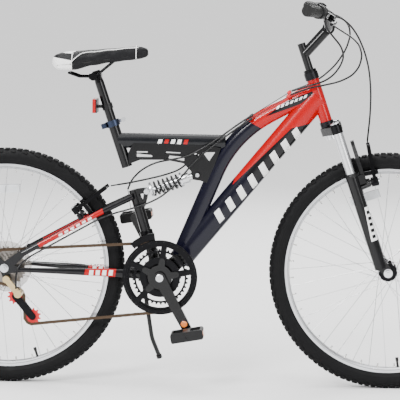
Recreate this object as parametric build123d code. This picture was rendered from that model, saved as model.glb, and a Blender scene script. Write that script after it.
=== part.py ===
from build123d import *
from math import acos, atan2, ceil, cos, degrees, pi, radians, sin, sqrt, tan
import os

# Full-suspension mountain bike.  Millimetres; +X forward, +Y to the rider's left, +Z up.
# The origin is on the ground, midway between the two wheel contact points.

# ---- overall sizes -------------------------------------------------------------------------
wheelbase = 1064.0
wheel_radius = 330.0            # over the tyre, 26 x 1.95
chain_stay_reach = 433.0        # rear axle to bottom bracket, along X
bottom_bracket_height = 310.0
head_lean = 18.6                # steering axis from the vertical, degrees
fork_offset = 35.4              # front axle ahead of the steering axis
fork_length = 450.0             # axle foot to the lower end of the head tube
head_tube_length = 122.0
seat_lean = 18.45               # seat post from the vertical, degrees
crank_length = 170.0
crank_angle = -61.5             # right crank at rest, from +X towards +Z, degrees

# ---- wheels --------------------------------------------------------------------------------
tyre_width = 49.0
tyre_wall = 3.1
tread_half = 13.0               # half width of the flat crown
rim_width = 30.0
rim_outer_radius = 286.0
rim_inner_radius = 273.0
rim_wall = 1.9
rim_bed = 3.4
spoke_count = 36
spoke_radius = 1.0
flange_radius = 26.0
flange_thickness = 3.0
hub_shell_radius = 17.0
front_flange_y = 32.0
rear_flange_right_y = -24.0
rear_flange_left_y = 34.0
front_axle_radius = 4.8
rear_axle_radius = 5.0
front_dropout_y = 50.0
rear_dropout_y = 68.0
dropout_thickness = 5.0
nut_length = 13.0
nut_radius = 9.0
running_gap = 0.05              # radial clearance of shafts and slides
face_gap = 0.4                  # clearance between faces of parts that move past each other

# ---- frame tubes ---------------------------------------------------------------------------
head_tube_radius = 17.0
steerer_radius = 14.3
headset_radius = 19.5
lower_cup_height = 15.0
upper_cup_height = 20.0
upper_tube_depth = 46.0
upper_tube_width = 36.0
down_tube_depth = 64.0
down_tube_width = 42.0
tube_wall = 1.6
pivot_sleeve_radius = 18.0
pivot_sleeve_half = 22.0
pivot_axle_radius = 6.0
pivot_forward = 51.0            # main pivot from the bottom bracket
pivot_up = 42.0
rear_tube_depth = 43.0
rear_tube_width = 32.0
post_radius = 12.7
mast_radius = 15.0
collar_height = 17.0
collar_radius = 19.0

# ---- rear triangle -------------------------------------------------------------------------
shell_radius = 21.0
shell_half = 34.0
upright_radius = 15.0
stay_radius = 8.5
link_plate_thickness = 6.0
swing_limit = 8.5               # degrees
shock_eye_radius = 11.0
shock_bolt_radius = 4.0
shock_open_clearance = 0.6      # the opened pivot of the closed shock linkage
spring_radius = 21.0
spring_wire = 6.0
spring_turns = 6

# ---- drive ---------------------------------------------------------------------------------
chain_pitch = 12.7
roller_radius = 3.85
roller_gap = 0.35
tooth_height = 1.0               # tooth tips above the pitch circle
ring_teeth = (48, 38, 28)
ring_y = (-58.0, -50.0, -42.0)
ring_thickness = 2.0
guard_radius = 104.0
guard_y = -63.0
cog_teeth = (28, 24, 20, 18, 16, 14)
cog_first_y = -38.5
cog_pitch_y = 5.0
pulley_teeth = 11
chain_cog = 1                   # index of the cog that carries the chain
crank_inner_y = 66.0
crank_thickness = 13.0
pedal_inner_y = 94.0
pedal_width = 66.0
pedal_length = 90.0
pedal_height = 27.0
pedal_tilt = 10.0

# ---- brakes --------------------------------------------------------------------------------
boss_radius = 4.0
boss_half_spacing = 40.0
boss_below_rim = 27.0
brake_arm_length = 106.0
pad_gap = 1.6
brake_arm_swing = 2.4           # degrees

# ---- fork and cockpit ----------------------------------------------------------------------
stanchion_radius = 12.7
stanchion_half = 60.0
stanchion_offset = 21.0         # ahead of the steering axis
lower_leg_radius = 17.0
lower_leg_top = 285.0           # up the steering axis from the axle foot
crown_bottom = 412.0
crown_top = 434.0
fork_travel = 63.0
quill_radius = 11.1
stem_top = 676.0
extension_radius = 14.0
bar_radius = 11.1
bar_forward = 85.0              # bar centre ahead of the steering axis
bar_up = 693.0                  # bar centre up the steering axis
bar_rise = 45.0
bar_half = 308.0
bar_sweep = 15.0
grip_radius = 15.5
grip_length = 104.0
shifter_radius = 19.0
shifter_length = 34.0

# ---- places worked out from the sizes ------------------------------------------------------
rear = Vector(-wheelbase / 2, 0, wheel_radius)
front = Vector(wheelbase / 2, 0, wheel_radius)
bracket = Vector(rear.X + chain_stay_reach, 0, bottom_bracket_height)
pivot = bracket + Vector(pivot_forward, 0, pivot_up)
steer_dir = Vector(-sin(radians(head_lean)), 0, cos(radians(head_lean)))
steer_out = Vector(cos(radians(head_lean)), 0, sin(radians(head_lean)))
steer_foot = front - steer_out * fork_offset
side = Vector(0, 1, 0)


def steer(up, out=0.0, y=0.0):
    """A point given by its distance up the steering axis, ahead of it and to the left."""
    return steer_foot + steer_dir * up + steer_out * out + side * y


head_low = steer(fork_length)
head_high = steer(fork_length + head_tube_length)
post_dir = Vector(-sin(radians(seat_lean)), 0, cos(radians(seat_lean)))
mast_foot = bracket + Vector(-98, 0, 301)
mast_length = 136.0
mast_top = mast_foot + post_dir * mast_length
saddle_origin = mast_top + post_dir * 133.0
corner = pivot + (head_low - pivot) * 0.345 + Vector(4, 0, 215)
shock_front = pivot + Vector(48.5, 0, 240)
shock_rear = pivot + Vector(-93, 0, 191.5)


# ---- small helpers -------------------------------------------------------------------------
def rod(a, b, radius):
    """Round bar from point a to point b."""
    span = b - a
    return Plane(a, z_dir=span) * Cylinder(radius, span.length, align=(Align.CENTER, Align.CENTER, Align.MIN))


def tube(a, b, outer, inner):
    """Round tube from a to b with an open bore."""
    along = (b - a).normalized()
    return rod(a, b, outer) - rod(a - along, b + along, inner)


def cross_rod(p, y0, y1, radius):
    """Round bar across the bike from y0 to y1 through the X and Z of p."""
    return rod(Vector(p.X, y0, p.Z), Vector(p.X, y1, p.Z), radius)


def cross_tube(p, y0, y1, outer, inner):
    """Round tube across the bike."""
    low, high = min(y0, y1), max(y0, y1)
    return cross_rod(p, low, high, outer) - cross_rod(p, low - 1, high + 1, inner)


def plate(points, y0, y1):
    """Flat plate with its outline in the XZ plane, from y0 to y1."""
    low, high = min(y0, y1), max(y0, y1)
    wire = Wire.make_polygon([Vector(p.X, low, p.Z) for p in points], close=True)
    return extrude(Face(wire), amount=high - low, dir=(0, 1, 0))


def tangent_points(a, ra, b, rb, turn=1):
    """Outer tangent of two circles in XZ, on the left (turn 1) or right (-1) going from a to b."""
    span = b - a
    heading = atan2(span.Z, span.X)
    lean = acos((ra - rb) / sqrt(span.X ** 2 + span.Z ** 2))
    angle = heading + turn * lean
    out = Vector(cos(angle), 0, sin(angle))
    return a + out * ra, b + out * rb


def strap(a, ra, b, rb, y0, y1):
    """Tapered link plate with round ends."""
    up_a, up_b = tangent_points(a, ra, b, rb, 1)
    low_a, low_b = tangent_points(a, ra, b, rb, -1)
    middle = plate([up_a, up_b, low_b, low_a], y0, y1)
    return middle + cross_rod(a, y0, y1, ra) + cross_rod(b, y0, y1, rb)


def oval_path(points, radius, depth, width):
    """Solid of oval section, deep in XZ and wide in Y, along straight runs joined by arcs."""
    path = FilletPolyline(*points, radius=radius) if len(points) > 2 else Line(*points)
    start = Plane(path @ 0, x_dir=(0, 1, 0), z_dir=path % 0)
    return sweep(start * Ellipse(width / 2, depth / 2), path=path)


def round_path(points, radius, section_radius):
    """Solid round bar along straight runs joined by arcs."""
    path = FilletPolyline(*points, radius=radius) if len(points) > 2 else Line(*points)
    return sweep(Plane(path @ 0, z_dir=path % 0) * Circle(section_radius), path=path)


def ring_about(centre, profile):
    """Revolve a closed (radius, y) outline about the cross axis through centre."""
    at = Plane(Vector(centre.X, 0, centre.Z), x_dir=(0, 0, 1), z_dir=(-1, 0, 0))
    return revolve(at * profile, axis=Axis((centre.X, 0, centre.Z), (0, 1, 0)), revolution_arc=360)


def outline(*points):
    """Closed flat outline from (radius, y) corners."""
    return make_face(Polyline(*points, close=True))


def disc(centre, radius, inner, y_mid, thickness):
    """Flat ring across the bike."""
    return cross_tube(centre, y_mid - thickness / 2, y_mid + thickness / 2, radius, inner)


def sprocket(centre, teeth, phase, y_mid, thickness, inner):
    """Toothed disc whose roller seats lie on the pitch circle, the first at the phase angle."""
    pitch_radius = chain_pitch / (2 * sin(pi / teeth))
    seat = roller_radius + roller_gap
    tip = pitch_radius + tooth_height
    half = acos((pitch_radius ** 2 + tip ** 2 - seat ** 2) / (2 * pitch_radius * tip))
    y0 = y_mid - thickness / 2

    def at(r, angle):
        return Vector(centre.X + r * cos(angle), y0, centre.Z + r * sin(angle))

    edges = []
    step = 2 * pi / teeth
    for i in range(teeth):
        a = phase + i * step
        edges.append(ThreePointArc(at(tip, a - half), at(pitch_radius - seat, a), at(tip, a + half)))
        edges.append(ThreePointArc(at(tip, a + half), at(tip, a + step / 2), at(tip, a + step - half)))
    face = Face(Wire(edges))
    body = extrude(face, amount=thickness, dir=(0, 1, 0))
    return body - cross_rod(centre, y0 - 1, y0 + thickness + 1, inner)


def group(*solids):
    """Separate solids kept in one node."""
    parts = []
    for s in solids:
        parts.extend(s.solids())
    return Compound(children=parts)


def largest(shape):
    """The biggest solid of a cut, without its offcuts."""
    return max(shape.solids(), key=lambda solid: solid.volume)


os.makedirs("parts", exist_ok=True)
made = {}


def save(name, shape):
    made[name] = shape
    export_step(shape, f"parts/{name}.step")


# ---- wheels --------------------------------------------------------------------------------
def tyre(centre, valve_angle):
    """Horseshoe-section tyre on the rim, with the valve of its inner tube."""
    bed = rim_inner_radius + rim_bed
    bead = rim_width / 2 - rim_wall
    half = tyre_width / 2
    lip = rim_outer_radius + 1
    belly = rim_outer_radius + 18
    shoulder = wheel_radius - 8

    def section(inset):
        top = wheel_radius - 1.6 * inset
        edges = []
        for way in (1, -1):
            corner_low = (bed, way * (bead - inset))
            corner_lip = (lip, way * (bead - inset))
            corner_shoulder = (shoulder - inset / 2, way * (half - 5 - inset))
            edges.append(Line(corner_low, corner_lip))
            edges.append(ThreePointArc(corner_lip, (belly, way * (half - inset)), corner_shoulder))
            edges.append(Line(corner_shoulder, (top, way * (tread_half - inset))))
        closing = [
            Line((top, tread_half - inset), (top, inset - tread_half)),
            Line((bed, bead - inset), (bed, inset - bead)),
        ]
        return make_face(Wire(edges + closing))

    body = ring_about(centre, section(0)) - ring_about(centre, section(tyre_wall))
    out = Vector(cos(radians(valve_angle)), 0, sin(radians(valve_angle)))
    valve = rod(centre + out * (rim_inner_radius - 34), centre + out * (rim_inner_radius - 0.5), 2.6)
    return group(body, valve)


def rim(centre):
    """Channel-section rim with braking walls."""
    half = rim_width / 2
    bed = rim_inner_radius + rim_bed
    return ring_about(centre, outline(
        (rim_inner_radius, -half + 3), (rim_inner_radius + 3, -half), (rim_outer_radius, -half),
        (rim_outer_radius, rim_wall - half), (bed, rim_wall - half), (bed, half - rim_wall),
        (rim_outer_radius, half - rim_wall), (rim_outer_radius, half), (rim_inner_radius + 3, half),
        (rim_inner_radius, half - 3)))


def spokes(centre, flange_left, flange_right):
    """Three-cross spokes: heads out and heads in alternate round each flange."""
    bars = []
    per_side = spoke_count // 2
    step = 360 / per_side
    for flange, offset in ((flange_left, 0), (flange_right, step / 2)):
        outward = 1 if flange > 0 else -1
        for i in range(per_side):
            lead = 1 if i % 2 == 0 else -1
            start = radians(offset + i * step)
            end = radians(offset + i * step + lead * 3 * step)
            stand = flange_thickness / 2 + spoke_radius + (0.9 if lead > 0 else 0.1)
            r0 = flange_radius - 1.8
            r1 = rim_inner_radius - 1.2
            a = Vector(centre.X + r0 * cos(start), flange + lead * outward * stand, centre.Z + r0 * sin(start))
            b = Vector(centre.X + r1 * cos(end), outward * 3, centre.Z + r1 * sin(end))
            bars.append(rod(a, b, spoke_radius))
    return group(*bars)


def hub(centre, flange_left, flange_right, bore, end_left, end_right):
    """Hub shell with two flanges and an open bore for the axle."""
    half = flange_thickness / 2
    return ring_about(centre, outline(
        (bore, end_right), (hub_shell_radius - 5, end_right), (hub_shell_radius - 5, flange_right - half),
        (flange_radius, flange_right - half), (flange_radius, flange_right + half),
        (hub_shell_radius, flange_right + half), (hub_shell_radius, flange_left - half),
        (flange_radius, flange_left - half), (flange_radius, flange_left + half),
        (hub_shell_radius - 5, flange_left + half), (hub_shell_radius - 5, end_left), (bore, end_left)))


def axle(centre, radius, dropout):
    """Solid axle with a washer and a domed nut outside each dropout."""
    end = dropout + dropout_thickness
    body = cross_rod(centre, -end - nut_length - 6, end + nut_length + 6, radius)
    for way in (-1, 1):
        body += cross_rod(centre, way * end, way * (end + 2), nut_radius + 3)
        body += cross_rod(centre, way * (end + 2), way * (end + nut_length), nut_radius)
    return body


def build_wheel(label, centre, flange_left, flange_right, bore, end_left, end_right, valve_angle):
    save(f"{label}_tyre", tyre(centre, valve_angle))
    save(f"{label}_rim", rim(centre))
    save(f"{label}_spokes", spokes(centre, flange_left, flange_right))
    save(f"{label}_hub", hub(centre, flange_left, flange_right, bore, end_left, end_right))


build_wheel("front", front, front_flange_y, -front_flange_y, front_axle_radius + running_gap,
            front_dropout_y - face_gap, -front_dropout_y + face_gap, -84.0)
build_wheel("rear", rear, rear_flange_left_y, rear_flange_right_y, rear_axle_radius + running_gap,
            rear_dropout_y - face_gap, -rear_dropout_y + face_gap, -88.0)
save("front_axle", axle(front, front_axle_radius, front_dropout_y))

# ---- main frame ----------------------------------------------------------------------------
head_solid = rod(head_low, head_high, head_tube_radius)
save("head_tube", head_solid - rod(head_low - steer_dir, head_high + steer_dir, steerer_radius + 1.2))

cup_bore = steerer_radius + running_gap
lower_cup = tube(steer(fork_length - lower_cup_height), head_low, headset_radius, cup_bore)
upper_cup = tube(head_high, steer(fork_length + head_tube_length + upper_cup_height), headset_radius, cup_bore)

down_high = head_low + steer_dir * 71
down_points = [pivot, down_high]
down_outer = oval_path(down_points, 0, down_tube_depth, down_tube_width)
down_inner = oval_path(down_points, 0, down_tube_depth - 2 * tube_wall, down_tube_width - 2 * tube_wall)
sleeve = cross_rod(pivot, -pivot_sleeve_half, pivot_sleeve_half, pivot_sleeve_radius)
sleeve_bore = cross_rod(pivot, -pivot_sleeve_half - 1, pivot_sleeve_half + 1, pivot_axle_radius)
save("down_tube", (down_outer - down_inner - head_solid + sleeve) - sleeve_bore)

upper_high = head_low + steer_dir * 92
upper_points = [pivot + Vector(-2, 0, 6), corner, upper_high]
upper_outer = oval_path(upper_points, 330, upper_tube_depth, upper_tube_width)
upper_inner = oval_path(upper_points, 330, upper_tube_depth - 2 * tube_wall, upper_tube_width - 2 * tube_wall)
save("upper_tube", largest(upper_outer - upper_inner - head_solid - down_outer - sleeve))

mast_solid = rod(mast_foot, mast_top, mast_radius)
save("seat_mast", mast_solid - rod(mast_foot - post_dir, mast_top + post_dir, post_radius + running_gap))

rear_tube_start = mast_foot + post_dir * 78
rear_tube_end = corner + Vector(-18, 0, -20)
rear_outer = oval_path([rear_tube_start, rear_tube_end], 0, rear_tube_depth, rear_tube_width)
rear_inner = oval_path([rear_tube_start, rear_tube_end], 0, rear_tube_depth - 3.2, rear_tube_width - 3.2)
save("rear_top_tube", rear_outer - rear_inner - mast_solid - upper_outer - rod(
    mast_foot - post_dir * 40, mast_top, mast_radius))


def plate_at(origin, points, y0, y1):
    """Plate whose outline points are (x, z) pairs from the origin."""
    return plate([origin + Vector(x, 0, z) for x, z in points], y0, y1)


gusset_y = (11.5, 15.5)
gusset_outline = [(6, 6), (12, 11), (37, 21), (108, 22), (158, 13), (179, -8), (184, -32), (206, -35),
                  (226, -42), (262, 56), (240, 62), (20, 72), (4, 40)]
gusset_windows = [
    [(26, 39), (58, 39), (58, 45), (26, 45)],
    [(26, 27), (68, 27), (72, 32), (68, 35), (26, 38)],
    [(108, 39), (148, 38), (150, 43), (108, 45)],
    [(115, 24), (160, 17), (160, 31), (118, 34)],
    [(186, 36), (198, 33), (203, 37), (188, 44)],
    [(208, 44), (246, 45), (228, 18)],
]


def gusset_side(y0, y1):
    body = plate_at(mast_foot, gusset_outline, y0, y1)
    for window in gusset_windows:
        body -= plate_at(mast_foot, window, min(y0, y1) - 1, max(y0, y1) + 1)
    body += cross_rod(shock_front, y0, y1, 15)
    body = body - mast_solid - rear_outer - upper_outer
    return body - cross_rod(shock_front, min(y0, y1) - 1, max(y0, y1) + 1, shock_bolt_radius)


save("gusset_plates", group(gusset_side(*gusset_y), gusset_side(-gusset_y[1], -gusset_y[0])))


def bolt_across(p, half, radius, head_radius, head):
    """Bolt across the bike with a head at each end outside plus and minus half."""
    body = cross_rod(p, -half - head, half + head, radius)
    for way in (-1, 1):
        body += cross_rod(p, way * half, way * (half + head), head_radius)
    return body


plate_inner = pivot_sleeve_half + face_gap
plate_outer = plate_inner + link_plate_thickness
frame_bolts = group(
    bolt_across(pivot, plate_outer + face_gap, pivot_axle_radius, 11, 4.5),
    bolt_across(shock_front, gusset_y[1], shock_bolt_radius, 7.5, 5))

# ---- seat clamp, post and saddle -----------------------------------------------------------
collar_low = mast_top - post_dir * collar_height
lug_centre = mast_top - post_dir * (collar_height / 2) - Vector(24, 0, 8)
collar = tube(collar_low, mast_top, collar_radius, mast_radius)
lug = Plane(lug_centre, x_dir=(0, 1, 0), z_dir=post_dir) * Box(22, 14, collar_height - 3)
lug_bolt = rod(lug_centre - side * 14, lug_centre + side * 19, 3.2)
lug_head = rod(lug_centre - side * 15, lug_centre - side * 11, 6)
collar_body = collar + (lug - rod(collar_low - post_dir * 9, mast_top + post_dir * 9, mast_radius)) - lug_bolt
save("frame_fittings", group(lower_cup, upper_cup, frame_bolts, collar_body - lug_head, lug_bolt + lug_head))

lever_pivot = lug_centre + side * 19
lever_root = rod(lever_pivot - post_dir * 6 + side * 7, lever_pivot + post_dir * 6 + side * 7, 6.5)
lever_dir = Vector(cos(radians(seat_lean)), 0, sin(radians(seat_lean)))
lever_blade = Plane(lever_pivot + side * 7 + lever_dir * 28, x_dir=lever_dir, z_dir=side) * Box(52, 9, 5)
save("seat_clamp_lever", lever_root + lever_blade + rod(
    lever_pivot + side * 7 + lever_dir * 54 - side * 2.5, lever_pivot + side * 7 + lever_dir * 54 + side * 2.5, 6.5))

post_low = mast_foot + post_dir * 22
post_high = saddle_origin + post_dir * 12
neck = saddle_origin - post_dir * 22
post_body = rod(post_low, neck, post_radius) + Plane(neck, z_dir=post_dir) * Cone(
    post_radius, 11, 14, align=(Align.CENTER, Align.CENTER, Align.MIN))
post_body += rod(neck, post_high, 11)
post_body -= rod(post_low - post_dir, neck, post_radius - 1.8)
save("seat_post", post_body)

rail_half = 22.0
rail_radius = 3.5
clamp_centre = saddle_origin + Vector(-8, 0, -4)
clamp_block = rod(clamp_centre - side * 30, clamp_centre + side * 30, 11) + Plane(
    clamp_centre + Vector(4, 0, 0)) * Box(34, 38, 14)
rail_points = [(-68, 10), (-39, 0), (4, 0), (58, 45)]


def rail(y):
    points = [clamp_centre + Vector(x, y, z) for x, z in rail_points]
    return round_path(points, 14, rail_radius)


rails = [rail(-rail_half), rail(rail_half)]
hoop = rod(clamp_centre + Vector(-68, -rail_half, 10), clamp_centre + Vector(-68, rail_half, 10), rail_radius)
clamp = clamp_block - rod(post_low, neck, post_radius) - post_body - rails[0] - rails[1]
save("saddle_rails", group(clamp, rails[0] + rails[1] + hoop))

# saddle sections: distance ahead of the clamp, half width, underside height, top height
saddle_sections = [(-112, 44, 34, 56), (-96, 68, 22, 66), (-50, 74, 22, 69), (0, 52, 34, 74), (50, 30, 42, 79),
                   (100, 21, 48, 84), (128, 18, 52, 86), (150, 10, 60, 78)]
shell_thickness = 3.0
saddle_tilt = 0.13


def saddle_loft(inset):
    """The saddle's outer shape, or a smaller copy of it."""
    faces = []
    for x, half, low, high in saddle_sections:
        tall, wide = high - low, 2 * (half - inset)
        at = Plane(clamp_centre + Vector(x, 0, (low + high) / 2), x_dir=(0, 1, 0), z_dir=(1, 0, 0))
        faces.append(at * RectangleRounded(wide, tall, min(tall, wide) * 0.38))
    return loft(faces, ruled=True)


def slab(low, high):
    """Slanted slab across the saddle between two heights above its splitting plane."""
    rear_end, front_end = -120, 160
    at_rear = 27 + saddle_tilt * (rear_end + 112)
    at_front = 27 + saddle_tilt * (front_end + 112)
    corners = [(rear_end, at_rear + low), (front_end, at_front + low),
               (front_end, at_front + high), (rear_end, at_rear + high)]
    return plate_at(clamp_centre, corners, -100, 100)


saddle_full = saddle_loft(0)
save("saddle_pad", saddle_full & slab(shell_thickness, 90))
shell_solid = (saddle_full & slab(-60, shell_thickness)) - (saddle_loft(4) & slab(-60, 0))
save("saddle_shell", shell_solid - rails[0] - rails[1] - hoop)

reflector_centre = saddle_origin - post_dir * 92
band = tube(reflector_centre - post_dir * 8, reflector_centre + post_dir * 8, post_radius + 2.4, post_radius)
reflector_body = Plane(reflector_centre + Vector(-33, 0, 2)) * Box(12, 62, 38)
reflector_arm = Plane(reflector_centre + Vector(-20, 0, 0)) * Box(20, 12, 9)
save("rear_reflector", band + (reflector_arm - rod(post_low, neck, post_radius + 1)) + reflector_body)

# ---- rear triangle -------------------------------------------------------------------------
shell_outer = cross_rod(bracket, -shell_half, shell_half, shell_radius)
upright_foot = bracket + Vector(-8, 0, 0)
upright_top = bracket + Vector(-79, 0, 237)
upright_dir = (upright_top - upright_foot).normalized()
upright_outer = rod(upright_foot, upright_top, upright_radius)
upright_inner = rod(upright_foot, upright_top - upright_dir * tube_wall, upright_radius - tube_wall)
upright = (upright_outer - upright_inner) + shell_outer
for way in (-1, 1):
    low, high = sorted((way * plate_inner, way * plate_outer))
    upright += strap(bracket, shell_radius + 3, pivot, pivot_sleeve_radius, low, high)
shock_lug_y = (12.0, 15.5)
lug_outline = [(32, 5), (4, 9), (-4, -7), (5, -44), (16, -44)]
lug_radius = 8.0
lug_window = [(8, -5), (22, -8), (11, -28)]
for way in (-1, 1):
    low, high = sorted((way * shock_lug_y[0], way * shock_lug_y[1]))
    lug_plate = plate_at(shock_rear, [(-x, z) for x, z in lug_outline], low, high)
    lug_plate += cross_rod(shock_rear, low, high, lug_radius)
    upright += lug_plate - plate_at(shock_rear, [(-x, z) for x, z in lug_window], low - 1, high + 1)
upright -= cross_rod(bracket, -shell_half - 1, shell_half + 1, 17)
upright -= cross_rod(pivot, -40, 40, pivot_axle_radius + running_gap)
upright -= cross_rod(shock_rear, -40, 40, shock_bolt_radius)
save("upright_tube", upright)
save("swingarm_fasteners", group(
    axle(rear, rear_axle_radius, rear_dropout_y),
    cross_tube(bracket, 19, shell_half + 1.5, 17, 8.5 + running_gap),
    cross_tube(bracket, -19, -shell_half - 1.5, 17, 8.5 + running_gap),
    bolt_across(shock_rear, shock_lug_y[1], shock_bolt_radius, 7.5, 4)))

drop_mid = rear_dropout_y + dropout_thickness / 2


def chain_stay(way):
    sections = [(rear + Vector(40, way * drop_mid, -4), 8, 12), (rear + Vector(160, way * 54, -8), 11, 17),
                (rear + Vector(300, way * 37, -13), 12, 23), (bracket + Vector(-14, way * 28, 1), 11, 29)]
    faces = [Plane(at, x_dir=(0, 1, 0), z_dir=(1, 0, 0)) * Ellipse(wide / 2, tall / 2)
             for at, wide, tall in sections]
    return loft(faces, ruled=True)


eyelet_radius = 2.6
eyelet = rear + Vector(-16, 0, 24)
hanger = rear + Vector(8, 0, -29)


def dropout(way):
    low, high = sorted((way * rear_dropout_y, way * (rear_dropout_y + dropout_thickness)))
    body = strap(rear, 15, rear + Vector(52, 0, 43), 9, low, high)
    body += strap(rear, 15, rear + Vector(44, 0, -4), 7, low, high)
    body += strap(rear, 13, eyelet, 7, low, high)
    if way < 0:
        body += strap(rear, 13, hanger, 10, low, high)
        body -= cross_rod(hanger, low - 1, high + 1, 5)
    body -= cross_rod(eyelet, low - 1, high + 1, eyelet_radius)
    return body - cross_rod(rear, low - 1, high + 1, rear_axle_radius)


kick_pivot = bracket + Vector(-55, 0, -18)
kick_block = Plane(kick_pivot + Vector(0, 35, 4)) * Box(24, 17.8, 20)
kick_pin = cross_rod(kick_pivot, 40, 60, 4)
shell_keep = cross_rod(bracket, -60, 60, shell_radius + 3)
right_stay = chain_stay(-1) - shell_keep - upright
left_stay = (chain_stay(1) - shell_keep - upright) + kick_block + kick_pin
save("chain_stays", group(right_stay + dropout(-1), left_stay + dropout(1)))


def boss_frame(wheel, angle):
    """Local frame at a brake boss: x to the left, y away from the axle, z along the boss."""
    reach = (rim_outer_radius + rim_inner_radius) / 2 - boss_below_rim
    out = Vector(cos(radians(angle)), 0, sin(radians(angle)))
    normal = Vector(out.Z, 0, -out.X)
    return Plane(wheel + out * reach, x_dir=(0, 1, 0), z_dir=normal)


rear_boss = boss_frame(rear, 36.8)
front_boss = boss_frame(front, 101.8)


def local_rod(frame, a, b, radius):
    return rod(frame.from_local_coords(Vector(*a)), frame.from_local_coords(Vector(*b)), radius)


def seat_stay(way):
    points = [rear + Vector(50, way * drop_mid, 41), rear + Vector(250, way * 45, 150),
              upright_top + Vector(-2, way * 21, -18)]
    bar = round_path(points, 220, stay_radius)
    seat = bar - round_path(points, 220, stay_radius - 1.5)
    boss = local_rod(rear_boss, (way * boss_half_spacing, 0, 22), (way * boss_half_spacing, 0, -26), boss_radius)
    foot = local_rod(rear_boss, (way * 46, 0, 22), (way * (boss_half_spacing + 1), 0, 2), 7)
    inner_bore = round_path(points, 220, stay_radius - 1.5)
    return (seat + (foot - inner_bore) + (boss - inner_bore)) - upright_outer


save("seat_stays", group(seat_stay(-1) - dropout(-1), seat_stay(1) - dropout(1)))

# ---- rear shock ----------------------------------------------------------------------------
shock_span = shock_front - shock_rear
shock_dir = shock_span.normalized()
shock_eye_half = 10.6


def along(distance):
    """A point that far from the shock's front eye towards its rear eye."""
    return shock_front - shock_dir * distance


shock_length = shock_span.length
shock_stroke = 31.5
damper_end = 100.0
front_seat = 50.0
rear_seat = shock_length - 16.0
eye_front = cross_rod(shock_front, -shock_eye_half, shock_eye_half, shock_eye_radius)
damper = eye_front + rod(along(6), along(26), 10) + rod(along(26), along(front_seat), 15)
damper += rod(along(front_seat - 5), along(front_seat), spring_radius)
damper += rod(along(front_seat), along(damper_end), 11)
damper -= cross_rod(shock_front, -40, 40, shock_bolt_radius + running_gap)
shaft_radius = 5.0
damper -= rod(along(16), along(damper_end + 1), shaft_radius + running_gap)
save("shock_body", damper)

eye_rear = cross_rod(shock_rear, -shock_eye_half, shock_eye_half, shock_eye_radius)
shaft = eye_rear + rod(along(rear_seat + 5), along(rear_seat), spring_radius)
shaft += rod(along(shock_length - 8), along(rear_seat), 8)
shaft += rod(along(rear_seat + 1), along(60), shaft_radius)
save("shock_shaft", shaft - cross_rod(shock_rear, -40, 40, shock_bolt_radius + shock_open_clearance))

spring_length = rear_seat - front_seat - spring_wire - 0.6
spring_path = Helix(spring_length / spring_turns, spring_length, spring_radius - spring_wire / 2)
spring_at = Plane(along(front_seat + spring_wire / 2 + 0.3), z_dir=-shock_dir)
spring_line = spring_at * spring_path
spring = sweep(Plane(spring_line @ 0, z_dir=spring_line % 0) * Circle(spring_wire / 2), path=spring_line)
save("shock_spring", spring)

# ---- drive ---------------------------------------------------------------------------------
def pitch_radius_of(teeth):
    return chain_pitch / (2 * sin(pi / teeth))


chain_cog_y = cog_first_y - chain_cog * cog_pitch_y
guide_centre = rear + Vector(29, 0, -82)
tension_centre = rear + Vector(75.6, 0, -137.9)
cage_pivot = rear + Vector(40.5, 0, -69.3)

# the chain's circles in running order: centre, teeth, y, and +1 where it wraps anticlockwise seen from +Y's back
chain_stops = [
    (rear, cog_teeth[chain_cog], chain_cog_y, 1),
    (bracket, ring_teeth[0], ring_y[0], 1),
    (tension_centre, pulley_teeth, chain_cog_y, 1),
    (guide_centre, pulley_teeth, chain_cog_y, -1),
]


def cross_tangent(a, ra, b, rb, turn):
    """Inner tangent of two circles, leaving a on its left (turn 1) or right (-1)."""
    span = b - a
    heading = atan2(span.Z, span.X)
    lean = acos((ra + rb) / sqrt(span.X ** 2 + span.Z ** 2))
    out = Vector(cos(heading + turn * lean), 0, sin(heading + turn * lean))
    return a + out * ra, b - out * rb


def chain_tangent(i):
    """Straight run from circle i to the next one."""
    a, ta, ya, wa = chain_stops[i]
    b, tb, yb, wb = chain_stops[(i + 1) % len(chain_stops)]
    ra, rb = pitch_radius_of(ta), pitch_radius_of(tb)
    if wa == wb:
        return tangent_points(a, ra, b, rb, wa)
    return cross_tangent(a, ra, b, rb, wa)


def angle_about(centre, p):
    return atan2(p.Z - centre.Z, p.X - centre.X)


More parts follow.
